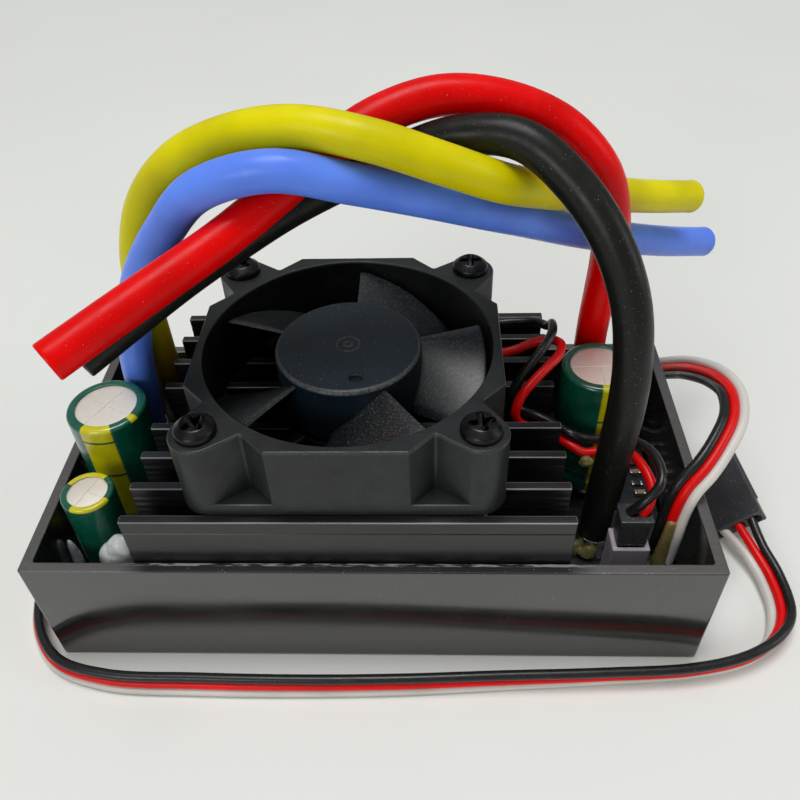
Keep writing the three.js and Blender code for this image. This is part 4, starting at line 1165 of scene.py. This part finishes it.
def blade(first_edge):
    """A twisted blade whose upper edge leads, with rounded edges and a slight camber."""
    rows = []
    for share in (0, 0.15, 0.3, 0.45, 0.6, 0.75, 0.88, 0.965, 0.99, 1):
        radius = BLADE_ROOT + (BLADE_TIP - BLADE_ROOT) * share
        thin = {0.99: 0.75, 1: 0.35}.get(share, 1)
        upper, lower = [], []
        for along in np.linspace(0, 1, 21):
            edge = (1 - abs(2 * along - 1) ** 14) ** 0.5
            half = max(BLADE_HALF * edge * thin * (1 - 0.25 * share), 0.02)
            angle = math.radians(first_edge + BLADE_LEAN * share - BLADE_SPAN * along)
            level = BLADE_TOP - BLADE_DROP * along + BLADE_CAMBER * math.sin(math.pi * along)
            x, y = radius * math.cos(angle), radius * math.sin(angle)
            upper.append((x, y, level + half))
            lower.append((x, y, level - half))
        rows.append(upper + lower[::-1])
    return loft(rows)


def make_rotor():
    high = in_mm("fan_rotor")[1]
    bottom = in_mm("fan_frame")[0][2]
    at = above("fan_shaft", bottom)
    top = high[2] - bottom
    # The mark that the mould's gate left in the middle of the hub.
    gate = [(0, top + 0.02), (0.28, top), (0.4, top - 0.12), (0.62, top - 0.13), (0.75, top - 0.02),
            (1.25, top - 0.02), (1.35, top - 0.1), (1.55, top - 0.1), (1.65, top)]
    shell = filleted([
        (1.7, top, 0), (HUB_RADIUS, top, 0.75), (HUB_RADIUS, HUB_SKIRT, 0.12), (8.5, HUB_SKIRT, 0.1),
        (8.5, top - 1.2, 0.3), (1.8, top - 1.2, 0.2), (1.8, 7.2, 0.1), (0.95, 7.2, 0), (0.95, 8.2, 0),
        (0, 8.2, 0),
    ], closed=False, steps=8)
    hub = lathe([*gate, *shell], 128)
    pit = moved(lathe([(0, -0.7), (0.85, -0.7), (0.97, 0.2), (0, 0.2)], 40), by=(1.4, -6.5, top))
    moving = {"slot": "rotor_plastic", "body": "rotor", "spot": at}
    piece("impeller_hub", [hub], "hub_plastic", ["fan_rotor"], cut=[pit], **moving)
    blades = [blade(FIRST_EDGE + 360 / BLADES * i) for i in range(BLADES)]
    piece("impeller_blades", blades, "blade_plastic", sharp=50, **moving)


def round_part(name, node, inner, material, body="case", bevel=0.12):
    """A ring or a pin in place of its CAD node."""
    low, high = in_mm(node)
    outer, height = (high[0] - low[0]) / 2, high[2] - low[2]
    profile = [
        (inner, bevel), (inner + bevel, 0), (outer - bevel, 0), (outer, bevel),
        (outer, height - bevel), (outer - bevel, height), (inner + bevel, height), (inner, height - bevel),
    ]
    if inner == 0:
        profile = [(0, 0), *profile[2:6], (0, height)]
    piece(name, [lathe(profile, 72)], material, [node], body=body, spot=above(node, low[2]))


STATOR_SHEETS = 6
WINDING_LAYERS = 7


def make_fan_motor():
    round_part("motor_shaft", "fan_shaft", 0, "steel", "rotor")
    round_part("magnet_ring", "fan_magnet_ring", 7.2, "magnet", "rotor")
    round_part("sleeve_bearing", "fan_bearing", 0.95, "bronze")
    round_part("motor_driver_board", "fan_driver_board", 2.8, "board_mask", bevel=0.05)
    low, high = in_mm("fan_stator_core")
    at = above("fan_stator_core", 0)
    reach, height = (high[0] - low[0]) / 2, high[2] - low[2]
    pole = ((reach, -2.2), (reach, 2.2), (reach - 0.8, 2.2), (reach - 1.2, 1.2), (3.8, 1.2))
    outline = [(*turned_spot(corner, quarter), 0.2) for quarter in range(4) for corner in pole]
    loops = [filleted(outline, steps=2), hole(2.65)]
    sheet = height / STATOR_SHEETS
    levels = [(0, 0.03), (0.03, 0), (sheet - 0.05, 0), (sheet - 0.01, 0.03)]
    sheets = []
    for i in range(STATOR_SHEETS):
        sheets.append(moved(plate(loops, levels), by=(*at[:2], low[2] + i * sheet)))
    piece("laminated_stator", sheets, "laminated_steel", ["fan_stator_core"], slot="steel")
    loop = rounded_rect(2.75, height + 0.7, 0.35)
    coils = []
    for quarter in range(4):
        for layer in range(WINDING_LAYERS):
            x = 4.15 + layer * 0.19
            ring = np.array([(x, y, z + (low[2] + high[2]) / 2) for y, z in np.vstack([loop, loop[:2]])])
            spun = moved((ring, []), by=at, turned=90 * quarter)[0]
            coils.append(tube(spun, 0.1, sides=6))
    piece("stator_windings", coils, "enamelled_copper", ["fan_winding"], slot="copper", sharp=80)


# ---- Capacitors ----
# Each has its radius, its lip, the angle of its scored cross, its stripe's angle and half width, the heights
# of the lines across the stripe, and the angle and half width of each patch on its rim.
CAPACITORS = {
    "left_capacitor": (5.25, 1.2, 62, -91, 23, (12.0, 18.2), ((-30, 6),)),
    "right_capacitor": (5.25, 1.2, 2, -72, 22, (14.4,), ()),
    "small_capacitor": (3.35, 0.8, 70, 30, 0, (), ((105, 52), (-68, 46))),
}


def make_capacitor(node, radius, lip, cross, stripe_angle, stripe_half, breaks, rim_patches):
    low, high = in_mm(f"{node}_sleeve")
    height = high[2] - low[2]
    spot = above(f"{node}_sleeve", low[2])
    mouth, inner = radius - lip, radius - 0.2
    # The sleeve and the can are pinched in by a groove around the seal, between the heights below and over.
    groove, skin = 0.42, 0.22
    below, pinch, over = 1.9, 2.9, 3.9
    sleeve = filleted([
        (mouth, 0, 0.1), (radius, 0, 0.5), (radius, below, 0.6), (radius - groove, pinch, 0.7),
        (radius, over, 0.6), (radius, height, 0.75), (mouth, height - 0.02, 0.1), (mouth, height - skin, 0),
        (inner, height - skin, 0.5), (inner, over, 0.4), (inner - groove, pinch, 0.5), (inner, below, 0.4),
        (inner, skin, 0.3), (mouth, skin, 0),
    ])
    sleeve_look(f"{node}_sleeve", height, stripe_angle, stripe_half, breaks, rim_patches)
    piece(f"{node}_shrink_sleeve", [lathe(sleeve, 96)], f"{node}_sleeve", [f"{node}_sleeve"],
          slot="capacitor_sleeve", spot=spot)
    can = inner - 0.12
    body = filleted([
        (0, skin + 0.1, 0), (can, skin + 0.1, 0.3), (can, below, 0.4), (can - groove, pinch, 0.5),
        (can, over, 0.4), (can, height - skin - 0.12, 0.6), (mouth * 0.9, height - skin - 0.02, 0),
        (0, height - skin, 0),
    ], closed=False)
    half, depth, reach = 0.08, 0.1, mouth + 0.6
    score = loft([[(x, -half, height), (x, half, height), (x, half * 0.9, height - skin),
                   (x, 0, height - skin - depth), (x, -half * 0.9, height - skin)] for x in (-reach, reach)])
    piece(f"{node}_aluminium_can", [lathe(body, 96)], "can_aluminium", [f"{node}_can"],
          cut=crossed(score, cross), spot=spot)
    low = in_mm(f"{node}_seal")[0]
    leg_offset = 2.5 if radius > 5 else 1.25
    seal = lathe([(0, -0.4), (mouth - 0.5, -0.4), (mouth - 0.25, -0.25), (mouth - 0.25, skin), (0, skin)], 64)
    board = low[2] - spot[2]
    leg = lathe([(0, board), (1.1, board), (0.95, board + 0.2), (0.5, board + 0.6), (0.34, board + 1.0),
                 (0.34, -0.2), (0, -0.2)], 24)
    legs = [(moved(leg, by=(0, side * leg_offset, 0)), 1) for side in (-1, 1)]
    materials = [MATERIALS["seal_rubber"], MATERIALS["solder"]]
    base = make_object(f"{node}_seal_and_legs", [(seal, 0), *legs], materials)
    base.location = Vector(spot) * MM
    finish_piece(base, "case", [f"{node}_seal"])


# ---- Solder and glue ----
def make_terminals():
    for colour in WIRE_ROUTES:
        node = f"{colour}_terminal"
        low, high = in_mm(node)
        height = high[2] - low[2]
        profile = filleted([
            (0, -0.02, 0), (3.2, -0.02, 0.2), (3.15, 0.5, 0.5), (2.55, 1.2, 0.8), (2.32, height, 0.3),
            (1.4, height + 0.28, 0.2), (0, height + 0.3, 0),
        ], closed=False)
        points, faces = lathe(profile, 72)
        phases = [random.uniform(0, TURN) for i in range(3)]
        angle = np.arctan2(points[:, 1], points[:, 0])
        swell = sum(np.sin(angle * turns + phase) for turns, phase in zip((2, 3, 5), phases))
        points[:, :2] *= (1 + 0.02 * swell)[:, None]
        piece(f"{colour}_solder_joint", [(points, faces)], "solder", [node], spot=above(node, low[2]),
              sharp=80)


def lump(centre, radii, waves):
    """A rounded lump with a few soft random dents."""
    ball = bmesh.new()
    bmesh.ops.create_icosphere(ball, subdivisions=4, radius=1)
    points = np.array([v.co for v in ball.verts])
    faces = [[v.index for v in face.verts] for face in ball.faces]
    ball.free()
    swell = np.zeros(len(points))
    for i in range(5):
        direction = np.array([random.gauss(0, 1) for axis in range(3)])
        swell += np.sin(points @ direction * 2.4 + random.uniform(0, TURN))
    return points * (1 + waves * swell / 2.5)[:, None] * np.array(radii) + np.array(centre), faces


def blob(name, lumps, material, nodes=(), voxel=0.22):
    """Lumps run together into one smooth mass."""
    made = make_object(name, [(solid, 0) for solid in lumps], [MATERIALS[material]])
    merge = made.modifiers.new("merge", "REMESH")
    merge.mode = "VOXEL"
    merge.voxel_size = voxel * MM
    smooth = made.modifiers.new("smooth", "SMOOTH")
    smooth.iterations = 6
    apply_modifiers(made)
    finish_piece(made, "case", nodes, sharp=180)


def make_glue():
    top = in_mm("circuit_board")[1][2]
    blob("front_glue_mound", [
        lump((-32.6, -18.0, top + 2.0), (3.2, 2.3, 3.0), 0.08),
        lump((-32.3, -18.3, top + 6.5), (2.8, 1.9, 4.0), 0.08),
        lump((-32.1, -18.3, top + 11.2), (2.7, 1.8, 3.2), 0.08),
        lump((-31.2, -18.4, top + 14.0), (1.8, 1.2, 1.7), 0.12),
    ], "clear_glue", voxel=0.2)
    inner_wall = in_mm("tray")[0][0] + TRAY_WALL
    blob("wall_glue_strip", [
        lump((inner_wall + 0.9, -13.6, top + 1.2), (0.8, 0.9, 1.6), 0.1),
        lump((inner_wall + 0.7, -13.4, top + 4.8), (0.7, 0.7, 3.6), 0.1),
    ], "white_glue", voxel=0.15)
    x, y, z = middle_of("black_terminal")
    blob("black_wire_glue", [
        lump((x - 2.7, y - 1.5, z - 0.5), (1.1, 1.1, 1.3), 0.15),
        lump((x - 1.0, y - 2.7, z - 0.3), (1.3, 0.9, 1.3), 0.15),
    ], "glue", voxel=0.15)
    blob("fan_lead_glue", [lump((28.6, -5.2, 20.9), (1.0, 0.8, 0.8), 0.2)], "glue", voxel=0.12)
    # A flattened streak runs up the servo lead from a lump at its foot, and narrows on the way.
    start, run = np.array([38.5, -13.2, 9.2]), np.array([0.85, 1.3, 7.2])
    streak = np.linspace(start, start + run, 24)
    points, faces = tube(streak, 1.15, sides=20, start=((-0.5, 0.3), (-0.3, 0.8), (0, 1)),
                         end=((0.1, 0.9), (0.5, 0.3)))
    share = np.clip((points[:, 2] - start[2]) / run[2], 0, 1)[:, None]
    axis = start + share * run
    tapered = axis + (points - axis) * (1 - 0.35 * share) * np.array([1, 0.7, 1])
    foot = lump(above("servo_lead_glue", in_mm("servo_lead_glue")[0][2] + 1.2), (2.1, 1.6, 1.7), 0.1)
    blob("servo_lead_glue_coat", [foot, (tapered, faces)], "glue", ["servo_lead_glue"])


# ---- Floor and light ----
FLOOR_SIZE = 3000.0


def make_stage():
    look = Look("pale_table", 0.6)
    cloud = look.cloud(120, 0.3, 0.7, detail=2)
    look.colour(look.mix(cloud, (0.775, 0.782, 0.746), (0.795, 0.802, 0.766)))
    look.gloss(40, 0.55, 0.65, detail=2)
    slab = plate([rounded_rect(FLOOR_SIZE, FLOOR_SIZE, 10)], [(-20, 0), (-0.01, 0)])
    floor = make_object("floor", [(slab, 0)], [look.material])
    world = bpy.data.worlds.new("studio")
    bpy.context.scene.world = world
    world.use_nodes = True
    nodes, links = world.node_tree.nodes, world.node_tree.links
    up = nodes.new("ShaderNodeSeparateXYZ")
    ramp = nodes.new("ShaderNodeValToRGB")
    links.new(nodes.new("ShaderNodeTexCoord").outputs["Generated"], up.inputs[0])
    links.new(up.outputs["Z"], ramp.inputs[0])
    ramp.color_ramp.elements[0].color = (0.5, 0.51, 0.5, 1)
    ramp.color_ramp.elements[1].color = (0.8, 0.82, 0.84, 1)
    links.new(ramp.outputs[0], nodes["Background"].inputs["Color"])
    nodes["Background"].inputs["Strength"].default_value = 0.42
    # Each lamp: where it is, its size and its power in watts.
    lamps = {
        "overhead": ((-60, 50, 1250), (600, 480), 9.0),
        "front_fill": ((-500, -1000, 560), (420, 420), 3.4),
        "right_fill": ((520, -60, 260), (200, 300), 0.4),
    }
    for name, (spot, size, power) in lamps.items():
        data = bpy.data.lights.new(name, "AREA")
        data.shape = "RECTANGLE"
        data.size, data.size_y = size[0] * MM, size[1] * MM
        data.energy = power
        lamp = bpy.data.objects.new(name, data)
        bpy.context.scene.collection.objects.link(lamp)
        lamp.location = Vector(spot) * MM
        lamp.rotation_euler = (-Vector(spot)).to_track_quat("-Z", "Y").to_euler()


random.seed(7)
make_stage()
make_power_wires()
lead, lead_path = make_servo_lead()
plug_pieces = make_servo_plug()
make_fan_leads()
make_fan_plug()
make_screws()
make_tray()
make_board()
make_chips()
make_small_parts()
make_heatsink()
make_fan_frame()
make_rotor()
make_fan_motor()
for node, facts in CAPACITORS.items():
    make_capacitor(node, *facts)
make_terminals()
make_glue()
